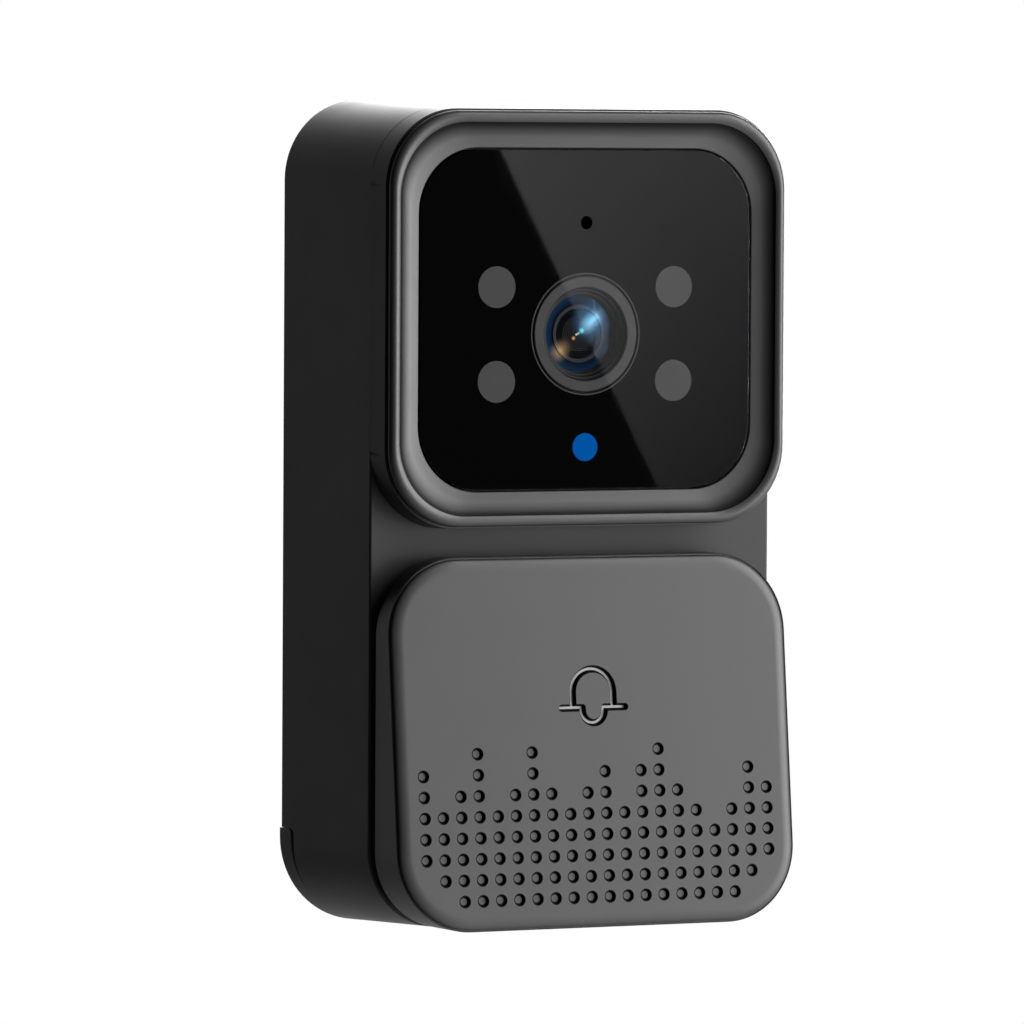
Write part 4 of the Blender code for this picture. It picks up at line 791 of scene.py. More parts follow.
# ---- Body ----
def foot_space(ahead, above):
    """The space of the bracket's foot, with its rounded top front corner, grown by gaps."""
    outline = [(FOOT_Y - ahead, -FAR)]
    for grow, shrink in quarter(8):
        outline.append((
            FOOT_Y - ahead + (FOOT_CORNER + ahead) * grow,
            FOOT_TOP_Z + above - (FOOT_CORNER + above) * shrink,
        ))
    outline += [(FAR, FOOT_TOP_Z + above), (FAR, -FAR)]
    return prism("foot_space", outline, -FAR, FAR)


def module_block():
    """The camera module's walls, which run back into the body's sides."""
    sink = 0.01 * MM  # the root lies that far within the body's own surface
    upper = body_outline(MODULE_ROOT_Y, sink)
    lower = rounded(
        BODY_HALF_X + draft_at(MODULE_ROOT_Y) - sink, MODULE_LOW_Z - MODULE_ROOT_DROP,
        BODY_HALF_Z, CORNER_RADIUS,
    )
    half = len(upper) // 2
    rings = [at_depth(upper[:half] + lower[half:], MODULE_ROOT_Y)]
    for grow, shrink in quarter(4):
        y = MODULE_WALL_Y + MODULE_EDGE * shrink
        rings.append(at_depth(module_outline(MODULE_EDGE * grow), y))
    return skin("module", rings)


def guide_collar():
    """The ring in front of the neck plane that guides the push plate's skirt."""
    collar = slab(
        "collar", lambda inset: plate_outline(COLLAR_INSET + inset), COLLAR_FRONT_Y,
        NECK_Y + 0.5 * MM, 0.1 * MM,
    )
    cut(collar, slab(
        "collar_bore", lambda inset: plate_outline(COLLAR_INSET + COLLAR_WALL), -FAR, 0.0
    ))
    return collar


def make_body():
    rings = []
    for inset, y in edge_steps(RIM_Y, NECK_Y, RIM_EDGE, NECK_EDGE):
        rings.append(at_depth(body_outline(y, inset), y))
    body = skin("body_shell", rings)
    join(body, module_block(), guide_collar())
    cut(
        body,
        pad(
            "cavity", CAVITY_HALF_X, -CAVITY_HALF_Z, CAVITY_HALF_Z, CAVITY_RADIUS, CAVITY_Y, BACK
        ),
        pad(
            "module_cavity", CAVITY_HALF_X - SHIFT, MODULE_CAVITY_LOW_Z, CAVITY_HALF_Z - SHIFT,
            CAVITY_RADIUS, MODULE_CAVITY_Y, MODULE_CAVITY_BACK_Y,
        ),
        slab("seat", lambda inset: module_outline(SEAT_INSET), -FAR, SEAT_Y),
        pad(
            "opening", OPENING_HALF_X, OPENING_LOW_Z, OPENING_HIGH_Z, OPENING_RADIUS, -FAR,
            OPENING_Y, steps=6,
        ),
    )
    add_posts(body)
    rebate = pad(
        "rebate", REBATE_HALF_X, -REBATE_HALF_Z, REBATE_HALF_Z, REBATE_RADIUS, REBATE_Y, BACK,
        steps=CORNER_STEPS,
    )
    cut(body, rebate, foot_space(FOOT_SEAM, FOOT_GAP))
    for place in POST_PLACES:
        cut(body, rod("guide_hole", place, *WALL_SPAN, POST_RADIUS + POST_GAP))
    cut(body, rod("actuator_hole", (0.0, SWITCH_Z), *WALL_SPAN, ACTUATOR_RADIUS + ACTUATOR_GAP))
    cut(body, rod("speaker_opening", (0.0, SPEAKER_Z), *WALL_SPAN, SPEAKER_RADIUS, 48))
    cut_underside(body)
    return complete(body, [CASING], "housing", "casing", "front_shell")


def add_posts(body):
    """Screw posts for the rear cover, the main board and the lock screw."""
    for places, back_y, radius, hole_y in SCREW_POSTS:
        for place in places:
            wall_y = MODULE_CAVITY_Y if place[1] > 0 else CAVITY_Y
            join(body, rod("post", place, wall_y - 0.5 * MM, back_y, radius, 24))
            cut(body, rod("post_hole", place, hole_y, 0.0, SCREW_HOLE_RADIUS, 16))
    join(body, upright_rod(
        "lock_boss", (0.0, LOCK_Y), LOCK_BOSS_LOW_Z, LOCK_BOSS_HIGH_Z, LOCK_BOSS_RADIUS, 24
    ))


def cut_underside(body):
    """The tongue's notch, the lock screw's hole and the service port."""
    notch = box(
        "notch", (-TONGUE_HALF_X - CLEARANCE, TONGUE_FRONT_Y - CLEARANCE, -FAR),
        (TONGUE_HALF_X + CLEARANCE, BACK, TONGUE_HIGH_Z + CLEARANCE),
    )
    recess = pad(
        "recess", FLAP_HALF_X + CLEARANCE, FLAP_LOW.y - CLEARANCE, FLAP_HIGH.y + CLEARANCE,
        FLAP_RECESS_RADIUS, -FAR, FLAP_LOW.z + FLAP_THICKNESS + CLEARANCE,
        middle_u=FLAP_X, lay=at_height,
    )
    port = pad(
        "port", PORT_HALF_X, PORT_Y - PORT_HALF_Y, PORT_Y + PORT_HALF_Y, PORT_RADIUS,
        -FAR, PORT_HIGH_Z, lay=at_height,
    )
    reset = (middle("reset_button")[0], PORT_Y)
    reset_hole = upright_rod("reset_hole", reset, -FAR, PORT_HIGH_Z, SCREW_HOLE_RADIUS)
    lock = (0.0, LOCK_Y)
    lock_hole = upright_rod("lock_hole", lock, -FAR, LOCK_HOLE_HIGH_Z, SCREW_HOLE_RADIUS)
    cut(body, notch, recess, port, reset_hole, lock_hole)


# ---- Bracket, lock screw and port flap ----
def bracket_foot():
    """The rim round the bracket's lower end, which stands a little proud of the body."""
    half_x = BODY_HALF_X + FOOT_PROUD
    half_z = BODY_HALF_Z + FOOT_PROUD
    radius = CORNER_RADIUS + FOOT_CORNER_EXTRA
    rings = []
    for inset, y in edge_steps(FOOT_Y, 0.0, FOOT_FRONT_EDGE, FOOT_BACK_EDGE):
        out = draft_at(y) - inset
        rings.append(at_depth(
            rounded(half_x + out, -half_z - out, half_z + out, radius + out), y
        ))
    foot = skin("foot", rings)
    rim_half_z = FOOT_RIM_HALF_X + BODY_HALF_Z - BODY_HALF_X
    cut(foot, pad(
        "hollow", FOOT_RIM_HALF_X, -rim_half_z, rim_half_z, FOOT_RIM_RADIUS, -FAR, BRACKET_Y,
        steps=CORNER_STEPS,
    ))
    change(foot, foot_space(0.0, 0.0), "INTERSECT")
    return foot


def make_hook(x, base):
    """One of the bracket's four hooks: a stem and a lip that stands up from its front."""
    stem = box(
        "stem", (x - HOOK_HALF_X, HOOK_FRONT_Y, base),
        (x + HOOK_HALF_X, ROOT_Y, base + HOOK_HEIGHT),
    )
    half_x = HOOK_HALF_X - SHIFT
    join(stem, box(
        "lip", (x - half_x, HOOK_FRONT_Y + SHIFT, base + HOOK_HEIGHT / 2),
        (x + half_x, HOOK_LIP_Y, base + HOOK_LIP_HEIGHT),
    ))
    return stem


def make_bracket():
    plate = pad(
        "bracket_plate", BRACKET_HALF_X, -BRACKET_HALF_Z, BRACKET_HALF_Z, BRACKET_RADIUS,
        BRACKET_Y, 0.0, 0.2 * MM, 0.2 * MM, steps=CORNER_STEPS,
    )
    tongue = slab(
        "tongue",
        lambda inset: rounded(
            TONGUE_HALF_X - inset, TONGUE_FRONT_Y + inset, ROOT_Y, 1.0 * MM, 8
        ),
        TONGUE_LOW_Z, TONGUE_HIGH_Z, 0.15 * MM, 0.1 * MM, at_height,
    )
    join(plate, bracket_foot(), tongue)
    for place in HOOK_PLACES:
        join(plate, make_hook(*place))
    countersink = [
        (0.0, -3 * MM), (WALL_SINK_RADIUS, -3 * MM), (WALL_SINK_RADIUS, BRACKET_Y),
        (WALL_HOLE_RADIUS, -0.7 * MM), (WALL_HOLE_RADIUS, 1 * MM), (0.0, 1 * MM),
    ]
    for z in (WALL_HOLE_Z, -WALL_HOLE_Z):
        cut(plate, lathe("wall_hole", countersink, (0.0, z), 48))
    sink = [
        (0.0, LOCK_BOSS_LOW_Z), (SCREW_HOLE_RADIUS, LOCK_BOSS_LOW_Z),
        (SCREW_HOLE_RADIUS, TONGUE_HIGH_Z - 0.15 * MM), (LOCK_SINK_RADIUS, TONGUE_LOW_Z),
        (LOCK_SINK_RADIUS, -43 * MM), (0.0, -43 * MM),
    ]
    cut(plate, lathe("lock_sink", sink, (0.0, LOCK_Y), 48, True))
    return complete(plate, [BRACKET], "bracket", "bracket", "wall_bracket")


def make_lock_screw():
    head = SCREW_LOW.z
    side = [
        (0.0, SCREW_HIGH.z), (0.5 * MM, SCREW_HIGH.z), (0.8 * MM, SCREW_HIGH.z - 0.4 * MM),
        (0.8 * MM, head + 1.15 * MM), (1.75 * MM, head + 0.15 * MM), (1.8 * MM, head + 0.08 * MM),
        (1.7 * MM, head), (0.0, head),
    ]
    screw = lathe("lock_screw_fine", side, (0.0, LOCK_Y), 48, True)
    arm, half = 1.15 * MM, 0.24 * MM
    for reach_x, reach_y in ((arm, half), (half, arm)):
        cut(screw, box(
            "recess", (-reach_x, LOCK_Y - reach_y, head - 1 * MM),
            (reach_x, LOCK_Y + reach_y, head + 0.65 * MM),
        ))
    return complete(screw, [STEEL], "lock_screw", "steel", "lock_screw")


def make_port_flap():
    flap = pad(
        "port_flap_fine", FLAP_HALF_X, FLAP_LOW.y, FLAP_HIGH.y, FLAP_RADIUS,
        FLAP_LOW.z, FLAP_LOW.z + FLAP_THICKNESS, 0.2 * MM, 0.1 * MM,
        middle_u=FLAP_X, lay=at_height,
    )
    join(flap, pad(
        "bung", BUNG_HALF_X, PORT_Y - BUNG_HALF_Y, PORT_Y + BUNG_HALF_Y, BUNG_RADIUS,
        FLAP_LOW.z + 0.4 * MM, FLAP_HIGH.z, 0.0, 0.2 * MM, lay=at_height,
    ))
    nail = (FLAP_HIGH.x, FLAP_LOW.z)
    nail_inset = 1.3 * MM
    cut(flap, rod("nail", nail, FLAP_LOW.y + nail_inset, FLAP_HIGH.y - nail_inset, 0.5 * MM, 24))
    cut(flap, rod("fold", (FLAP_LOW.x + 1.6 * MM, FLAP_LOW.z), -FAR, 0.0, 0.22 * MM, 16))
    return complete(flap, [RUBBER], "port_flap", "rubber", "port_flap")


# ---- Camera module ----
def make_bezel():
    line = [(BEZEL_EDGE, BEZEL_LIP_BACK_Y)]
    steps = 12
    for grow, shrink in quarter(steps):  # rounded outer band up to the crest
        line.append((
            BEZEL_EDGE + (BEZEL_CREST - BEZEL_EDGE) * grow,
            BEZEL_CREST_Y + (BEZEL_EDGE_Y - BEZEL_CREST_Y) * shrink,
        ))
    for step in range(1, steps + 1):  # and down its inner side
        share = step / steps
        line.append((
            BEZEL_CREST + (BEZEL_RIDGE_END - BEZEL_CREST) * share,
            BEZEL_CREST_Y + BEZEL_RIDGE_FALL * share**2,
        ))
    edge = 0.06 * MM
    start = BEZEL_RIDGE_END + 0.04 * MM
    start_y = BEZEL_CREST_Y + BEZEL_RIDGE_FALL + BEZEL_STEP
    for step in range(2 * steps + 1):  # hollow cove that flattens towards the glass
        share = step / (2 * steps)
        fall = COVE_SLOPE * share + (1 - COVE_SLOPE) * (1 - (1 - share) ** COVE_POWER)
        line.append((
            start + (BEZEL_WIDTH - edge - start) * share, start_y + (GLASS_Y - start_y) * fall
        ))
    back_y = SEAT_Y - 0.3 * MM
    line += [
        (BEZEL_WIDTH, GLASS_Y + edge), (BEZEL_WIDTH, back_y),
        (BEZEL_FLANGE, back_y), (BEZEL_FLANGE, BEZEL_LIP_BACK_Y),
    ]
    rings = [at_depth(module_outline(inset), y) for inset, y in line]
    bezel = skin("bezel", rings, closed=True)
    # Each point's inset, which the bezel material reads to place its painted shade in the hollow
    # behind the ridge.
    insets = [inset for (inset, _), ring in zip(line, rings) for _ in ring]
    bezel.data.attributes.new("inset", "FLOAT", "POINT").data.foreach_set("value", insets)
    return complete(bezel, [BEZEL], "housing", "bezel", "camera_bezel", angle=28)


def coat_front(piece):
    """Give the first material to the faces that look ahead, and the second to the rest."""
    for face in piece.data.polygons:
        face.material_index = 0 if face.normal.y < -0.3 else 1


def make_pane():
    """The clear gloss layer of the window, with the microphone's hole."""
    pane = slab("window_pane", glass_outline, GLASS_Y, GLASS_Y + PANE_THICKNESS, 0.03 * MM)
    cut(pane, rod("mic_front", MIC_PLACE, -FAR, 0.0, MIC_RADIUS, 48))
    complete(pane, [PANE, PANE_CORE], "housing", "window", "front_window", angle=1)
    coat_front(pane)


def make_print():
    """The black print behind the pane, open for all that shows through it."""
    sheet = slab(
        "window_print", lambda inset: glass_outline(inset + PRINT_GAP), PRINT_Y, PRINT_BACK_Y,
        0.0, 0.1 * MM,
    )
    holes = [
        (MIC_PLACE, MIC_RADIUS), (LENS_PLACE, LENS_RIM + PRINT_GAP),
        (STATUS_PLACE, STATUS_RADIUS + PRINT_GAP),
    ]
    holes += [(middle(node), INFRARED_RADIUS + PRINT_GAP) for node in INFRARED_NODES]
    for place, radius in holes:
        cut(sheet, rod("hole", place, -FAR, 0.0, radius, 64))
    complete(sheet, [PRINT], "housing", "mask", "front_window")


def make_infrared_disc(number, node):
    disc = slab(
        f"infrared_disc_{number}", lambda inset: circle(middle(node), INFRARED_RADIUS - inset),
        PRINT_Y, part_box(node)[1].y, 0.0, 0.1 * MM,
    )
    complete(disc, [INFRARED], "housing", "infrared_window", node)


def make_status_light():
    """The blue dot: a light pipe with a thinner stem."""
    pipe = [
        (0.0, PRINT_Y), (STATUS_RADIUS, PRINT_Y), (STATUS_RADIUS, STATUS_STEM_Y),
        (STATUS_STEM_RADIUS, STATUS_STEM_Y), (STATUS_STEM_RADIUS, STATUS_BACK_Y),
        (0.0, STATUS_BACK_Y),
    ]
    light = lathe("status_light", pipe, STATUS_PLACE, 64)
    complete(light, [STATUS], "housing", "status", "status_light_pipe")


def make_window():
    make_pane()
    make_print()
    for number, node in enumerate(INFRARED_NODES, 1):
        make_infrared_disc(number, node)
    make_status_light()


def make_lens_ring():
    """The grey ring round the lens, with a dark groove round it."""
    edge = 0.08 * MM
    groove_y = PRINT_Y + LENS_GROOVE_DEPTH
    trim = [
        (LENS_RIM, PRINT_Y), (LENS_RIM, LENS_RING_BACK_Y), (LENS_RING_INNER, LENS_RING_BACK_Y),
        (LENS_RING_INNER, PRINT_Y + edge), (LENS_RING_INNER + edge, PRINT_Y),
        (LENS_RING - edge, PRINT_Y), (LENS_RING, PRINT_Y + edge), (LENS_RING, groove_y),
        (LENS_RIM - 1.5 * edge, groove_y), (LENS_RIM - 1.5 * edge, PRINT_Y),
    ]
    ring = lathe("lens_ring", trim, LENS_PLACE, 128)
    complete(ring, [LENS_METAL, LENS_BLACK], "housing", "lens_metal", "lens_trim_ring")
    for face in ring.data.polygons:
        out = math.hypot(face.center.x - LENS_X, face.center.z - LENS_Z)
        in_groove = LENS_RING - edge / 2 < out < LENS_RIM - edge
        below = face.center.y > PRINT_Y + edge / 4
        face.material_index = 1 if in_groove and below else 0


def make_lens_barrel():
    """The stepped recess between the grey ring and the front glass."""
    wall = LENS_RING_INNER - 0.03 * MM
    seat = LENS_GLASS + 0.03 * MM
    recess = [
        (wall, PRINT_Y + 0.1 * MM), (4.6 * MM, PRINT_Y + 0.45 * MM),
        (4.45 * MM, PRINT_Y + 0.5 * MM), (4.3 * MM, PRINT_Y + 0.95 * MM),
        (4.12 * MM, PRINT_Y + 1.0 * MM), (seat + 0.07 * MM, LENS_GLASS_Y - 0.14 * MM),
        (seat, LENS_GLASS_Y - 0.1 * MM), (seat, LENS_BACK_Y), (wall, LENS_BACK_Y),
    ]
    barrel = lathe("lens_recess", recess, LENS_PLACE, 128)
    complete(barrel, [LENS_BLACK], "housing", "inner_plastic", "lens_barrel")


def make_lens_glass():
    """The domed front glass."""
    curve = (LENS_GLASS**2 + LENS_BULGE**2) / (2 * LENS_BULGE)
    top_y = LENS_GLASS_Y - LENS_BULGE
    front = [(0.0, top_y)]
    steps = 16
    for step in range(1, steps + 1):
        out = LENS_GLASS * step / steps
        front.append((out, top_y + curve - math.sqrt(curve**2 - out**2)))
    back_y = LENS_GLASS_Y + 0.05 * MM
    glass = lathe("lens_glass", [*front, (LENS_GLASS, back_y), (0.0, back_y)], LENS_PLACE, 96)
    complete(glass, [LENS_GLASS_COAT, PANE_CORE], "housing", "lens_glass", "lens_front_glass")
    coat_front(glass)


def make_lens_elements():
    """The elements behind the front glass, with fine turned rings inside the stop."""
    def behind(depth):
        return LENS_GLASS_Y + depth * MM

    line = [(0.0, behind(0.3))]
    ridge = 0.03 * MM
    for number in range(1, int(LENS_STOP_INNER / LENS_PITCH)):
        out = number * LENS_PITCH
        y = behind(0.3 - 0.1 * out / LENS_STOP_INNER)
        line += [(out - ridge, y), (out, y - ridge), (out + ridge, y)]
    line += [
        (LENS_STOP_INNER, behind(0.18)), (LENS_STOP_INNER + 0.02 * MM, behind(0.1)),
        (LENS_STOP, behind(0.1)), (LENS_STOP + 0.02 * MM, behind(0.2)),
        (LENS_GLASS - 0.05 * MM, behind(0.08)), (LENS_GLASS - 0.02 * MM, behind(0.1)),
        (LENS_GLASS - 0.02 * MM, LENS_BACK_Y), (0.0, LENS_BACK_Y),
    ]
    stack = lathe("lens_elements", line, LENS_PLACE, 96)
    complete(stack, [LENS_COATING_AND_REFLECTIONS], "housing", "lens_glass", "lens_inner_element")


# ---- Push plate ----
def plate_shell():
    """The push plate's thin shell: sloping face, rounded edge, skirt and hollow back."""
    rings = [
        on_face(plate_outline(FACE_SEAM + FACE_EDGE_WIDTH * shrink), FACE_EDGE_DEPTH * grow)
        for grow, shrink in quarter(12)
    ]
    for share, sink in SEAM_STEPS:
        rings.append(on_face(plate_outline(FACE_SEAM * share), FACE_EDGE_DEPTH + sink))
    rings += [
        at_depth(plate_outline(0.0), SKIRT_BACK_Y - SKIRT_EDGE),
        at_depth(plate_outline(SKIRT_EDGE), SKIRT_BACK_Y),
        at_depth(plate_outline(SKIRT_WALL), SKIRT_BACK_Y),
        on_face(plate_outline(SKIRT_WALL), FACE_WALL),
    ]
    return skin("push_plate", rings)


def hole_places():
    places = []
    for column, (first, last) in enumerate(HOLE_COLUMNS):
        x = (column - (len(HOLE_COLUMNS) - 1) / 2) * HOLE_PITCH_X
        places += [(x, HOLE_TOP_Z - (row - 1) * HOLE_PITCH_Z) for row in range(first, last + 1)]
    return places


def hole_cutter():
    """All of the sound holes as one cutter; each narrows towards its back."""
    shape = bmesh.new()
    taper = (HOLE_RADIUS - HOLE_FLOOR_RADIUS) / HOLE_DEPTH
    for place in hole_places():
        add_skin(shape, [
            on_face(circle(place, HOLE_RADIUS - taper * depth, HOLE_SIDES), depth)
            for depth in (-0.1 * MM, HOLE_DEPTH)
        ])
    return from_bmesh("holes", shape)


def arc(centre_z, radius, start, end, steps):
    """Points (x, z) along an arc about the centre line, between two angles."""
    angles = [start + step / steps * (end - start) for step in range(steps + 1)]
    return [(radius * math.cos(angle), centre_z + radius * math.sin(angle)) for angle in angles]


def bell_strokes():
    """The bell's four strokes, as (x, z) lines: dome, clapper and two base bars."""
    dome = arc(BELL_Z, BELL_DOME_RADIUS, 0.0, math.pi, 36)
    dome = [(BELL_DOME_RADIUS, BELL_BASE_Z), *dome, (-BELL_DOME_RADIUS, BELL_BASE_Z)]
    bowl = arc(BELL_BASE_Z - CLAPPER_DROP, CLAPPER_RADIUS, math.pi, 2 * math.pi, 24)
    clapper = [(-CLAPPER_RADIUS, BELL_BASE_Z), *bowl, (CLAPPER_RADIUS, BELL_BASE_Z)]
    bars = [
        [(side * CLAPPER_RADIUS, BELL_BASE_Z), (side * BELL_HALF_BASE, BELL_BASE_Z)]
        for side in (-1, 1)
    ]
    return [dome, clapper, *bars]


def stroke_outline(line, half):
    """The band round a line of points, with round ends."""
    outline = []
    for path in (line, line[::-1]):
        for index, (x, z) in enumerate(path):
            before = path[max(index - 1, 0)]
            after = path[min(index + 1, len(path) - 1)]
            heading = math.atan2(after[1] - before[1], after[0] - before[0])
            outline.append((x + half * math.sin(heading), z - half * math.cos(heading)))
        for step in range(1, 10):
            angle = heading - math.pi / 2 + step / 10 * math.pi
            outline.append((x + half * math.cos(angle), z + half * math.sin(angle)))
    return outline


def cut_bell(button):
    for number, stroke in enumerate(bell_strokes()):
        depth = GROOVE_DEPTH + number * GROOVE_STEP
        taper = (GROOVE_HALF - GROOVE_FLOOR_HALF) / GROOVE_DEPTH
        rings = [
            on_face(stroke_outline(stroke, GROOVE_HALF - taper * level), level)
            for level in (-0.2 * MM, depth)
        ]
        cut(button, skin("bell_groove", rings))


def paint_button(button):
    """Walls in the holes and the bell painted near black as shade, and a light floor in the bell.

    The holes' floors stay like the plate.
    """
    slope = Vector((0.0, -1.0, PLATE_SLOPE)).normalized()
    straight_x = PLATE_HIGH.x - PLATE_RADIUS
    straight_z = (PLATE_HIGH.z - PLATE_LOW.z) / 2 - PLATE_RADIUS
    middle_z = (PLATE_HIGH.z + PLATE_LOW.z) / 2
    sliver = 0.01 * MM
    for face in button.data.polygons:
        out_x = max(abs(face.center.x) - straight_x, 0.0)
        out_z = max(abs(face.center.z - middle_z) - straight_z, 0.0)
        depth = face.center.y - face_y(face.center.z)
        within = math.hypot(out_x, out_z) < PLATE_RADIUS - SKIRT_WALL
        front = face.normal.dot(slope)
        if within and front > -0.5 and sliver < depth < FACE_WALL - sliver:
            floor = 0 if depth < HOLE_DEPTH + sliver else 2
            face.material_index = floor if front > 0.95 else 1


def make_dust_mesh():
    """The mesh behind the face, which no opening shows from the front."""
    outline = rounded(DUST_HALF_X, DUST_LOW_Z, DUST_HIGH_Z, DUST_RADIUS, 12)
    sheet = skin("dust_mesh", [on_face(outline, depth) for depth in DUST_SPAN])
    complete(sheet, [DUST_MESH], "button", "mesh", "speaker_mesh")


def make_call_button():
    button = plate_shell()
    posts = []
    for place in POST_PLACES:
        front_y = face_y(place[1]) + POST_ROOT
        posts.append(rod("post", place, front_y, POST_BACK_Y, POST_RADIUS, 24))
        posts.append(rod("barb", place, *BARB_SPAN, BARB_RADIUS, 24))
    front_y = face_y(SWITCH_Z) + POST_ROOT
    posts.append(rod("actuator", (0.0, SWITCH_Z), front_y, ACTUATOR_BACK_Y, ACTUATOR_RADIUS))
    join(button, *posts)
    cut_bell(button)
    cut(button, hole_cutter())
    complete(button, [FRONT, PAINTED_HOLE_SHADE, BELL_FLOOR], "button", "push_plate", "call_button")
    paint_button(button)


# ---- Camera, lights and floor ----
VIEW_TURN = math.radians(27.0)  # the camera stands to the left of the front and looks down a little
VIEW_DROP = math.radians(2.48)
VIEW_ROLL = math.radians(0.32)
VIEW_DISTANCE = 876.89 * MM
VIEW_TARGET = Vector((-6.84, -19.5, 0.46)) * MM
FOCAL_LENGTH = 301.34
SENSOR_WIDTH = 36.0
CARD_Y = -600 * MM  # the window card stands there, in front of the doorbell
CARD_HIGH_Z = 60 * MM  # its ends, as the window mirrors them
CARD_LOW_Z = -30 * MM
CARD_RIGHT_X = 60 * MM
SLANT_START = (-10.1 * MM, 37.7 * MM)  # its slanting edge crosses the window between these
SLANT_END = (8.5 * MM, 2.7 * MM)
FLOOR_Z = -160 * MM
FLOOR_X = (-0.8, 3.0)
FLOOR_Y = (-1.2, 2.2)
BACK_CARD_X = (-0.9, 1.2)
BACK_CARD_Y = 0.9
BACK_CARD_Z = (-0.9, 0.9)
KEY_PLACE = (0.67, -0.57, 0.0)
KEY_TARGET = (0.0, -0.02, 0.0)
KEY_SIZE = (0.46, 2.0)
KEY_POWER = 30.0
WORLD_LIGHT = 0.02


def make_camera():
    back = Vector((
        -math.sin(VIEW_TURN) * math.cos(VIEW_DROP),
        -math.cos(VIEW_TURN) * math.cos(VIEW_DROP),
        math.sin(VIEW_DROP),
    ))
    right = Vector((0.0, 0.0, 1.0)).cross(back).normalized()
    turn = Matrix((right, back.cross(right), back)).transposed()
    data = bpy.data.cameras.new("camera")
    data.lens = FOCAL_LENGTH
    data.sensor_width = SENSOR_WIDTH
    data.clip_start = 0.05
    data.clip_end = 20.0
    camera = add_object("camera", data)
    roll = Matrix.Rotation(VIEW_ROLL, 4, "Z")
    camera.matrix_world = (
        Matrix.Translation(VIEW_TARGET + VIEW_DISTANCE * back) @ turn.to_4x4() @ roll
    )
    bpy.context.scene.camera = camera
    return camera


def to_camera(tree, otherwise):
    """1 to the camera, and another value to every other ray."""
    seen = add_node(tree, "LightPath").outputs["Is Camera Ray"]
    return ranged(tree, seen, otherwise, 1.0, 0.0, 1.0)


def glow(name):
    """A material that only gives light; its strength is linked by the caller."""
    material, tree, shader = new_material(name)
    tree.nodes.remove(shader)
    light = add_node(tree, "Emission")
    show(tree, light)
    return material, tree, light


def card(name, corners, material, camera=False, diffuse=True):
    """A flat card given by its corners; it lights the object or shows in its gloss."""
    mesh = bpy.data.meshes.new(name)
    mesh.from_pydata(corners, [], [range(len(corners))])
    piece = add_object(name, mesh)
    mesh.materials.append(material)
    piece.visible_camera = camera
    piece.visible_diffuse = diffuse
    piece.visible_shadow = False
    return piece


def mirrored(x, z, camera):
    """Where the camera sees the card plane mirrored at a point of the window."""
    start = camera.location.copy()
    start.y = 2 * GLASS_Y - start.y
    reach = (CARD_Y - start.y) / (GLASS_Y - start.y)
    return Vector((start.x + reach * (x - start.x), CARD_Y, start.z + reach * (z - start.z)))


def make_window_card(camera):
    """A lit card whose slanting edge shows as the bright field in the window."""
    slant = (SLANT_END[0] - SLANT_START[0]) / (SLANT_END[1] - SLANT_START[1])
    corners = [
        mirrored(SLANT_START[0] + slant * (CARD_HIGH_Z - SLANT_START[1]), CARD_HIGH_Z, camera),
        mirrored(CARD_RIGHT_X, CARD_HIGH_Z, camera),
        mirrored(CARD_RIGHT_X, CARD_LOW_Z, camera),
        mirrored(SLANT_START[0] + slant * (CARD_LOW_Z - SLANT_START[1]), CARD_LOW_Z, camera),
    ]
    material, tree, light = glow("window_card")
    place = object_place(tree)
    top = mirrored(*SLANT_START, camera)
    bottom = mirrored(GLASS_HIGH.x, GLASS_LOW.z, camera)
    fall = (bottom - top).normalized()
    along = calculate(tree, "MULTIPLY", place["X"], fall.x)
    along = calculate(tree, "MULTIPLY_ADD", place["Z"], fall.z, along)
    first = top.x * fall.x + top.z * fall.z
    last = bottom.x * fall.x + bottom.z * fall.z
    feed(tree, light, Strength=ranged(tree, along, 0.95, 0.2, first, last))
    card("window_card", corners, material, diffuse=False)


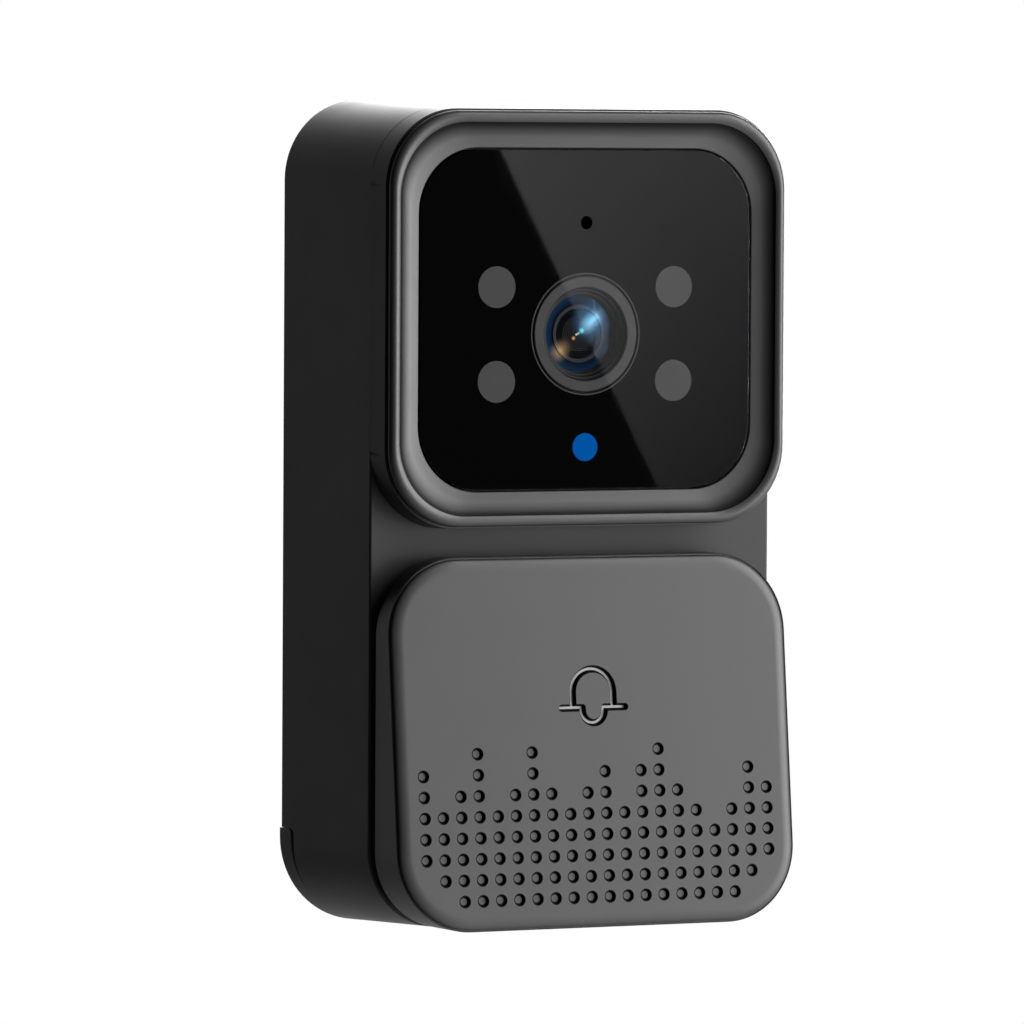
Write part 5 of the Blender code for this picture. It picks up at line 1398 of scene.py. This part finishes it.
def make_key_light():
    """A tall soft light at the right, outside what the window mirrors to the camera."""
    data = bpy.data.lights.new("key_light", "AREA")
    data.shape = "RECTANGLE"
    data.size, data.size_y = KEY_SIZE
    data.energy = KEY_POWER
    light = add_object("key_light", data)
    light.location = KEY_PLACE
    away = Vector(KEY_PLACE) - Vector(KEY_TARGET)
    light.rotation_euler = away.to_track_quat("Z", "Y").to_euler()
    light.visible_camera = False


def make_world():
    """White to the camera, dim to everything else."""
    world = bpy.data.worlds.new("studio")
    bpy.context.scene.world = world
    world.use_nodes = True
    tree = world.node_tree
    strength = to_camera(tree, WORLD_LIGHT)
    feed(tree, tree.nodes["Background"], Color=(1.0, 1.0, 1.0, 1.0), Strength=strength)


def make_floor():
    """White to the camera; to other rays it brightens to the right. Clear from beneath."""
    material, tree, light = glow("pale_floor")
    right = ranged(tree, object_place(tree)["X"], 0.14, 1.0, -0.15, 0.5)
    feed(tree, light, Strength=calculate(tree, "MAXIMUM", to_camera(tree, 0.0), right))
    beneath = add_node(tree, "NewGeometry").outputs["Backfacing"]
    show_mix(tree, beneath, light, add_node(tree, "BsdfTransparent"))
    (low_x, high_x), (low_y, high_y) = FLOOR_X, FLOOR_Y
    outline = [(low_x, low_y), (high_x, low_y), (high_x, high_y), (low_x, high_y)]
    card("floor", at_height(outline, FLOOR_Z), material, camera=True)


def make_back_card():
    """A card behind the doorbell, far brighter at the right, which its top and sides mirror."""
    material, tree, light = glow("back_card")
    share = ranged(tree, object_place(tree)["X"], 0.0, 1.0, -0.45, 0.6)
    share = calculate(tree, "POWER", share, 3.0)
    feed(tree, light, Strength=calculate(tree, "MULTIPLY_ADD", share, 11.0, 0.25))
    (low_x, high_x), (low_z, high_z) = BACK_CARD_X, BACK_CARD_Z
    outline = [(low_x, low_z), (high_x, low_z), (high_x, high_z), (low_x, high_z)]
    card("back_card", at_depth(outline, BACK_CARD_Y), material)


def make_studio():
    make_world()
    make_window_card(make_camera())
    make_floor()
    make_back_card()
    make_key_light()
    bpy.context.scene.view_settings.view_transform = "Standard"


dress_nodes()
make_body()
make_bracket()
make_lock_screw()
make_port_flap()
make_bezel()
make_window()
make_lens_ring()
make_lens_barrel()
make_lens_glass()
make_lens_elements()
make_call_button()
make_dust_mesh()
make_studio()
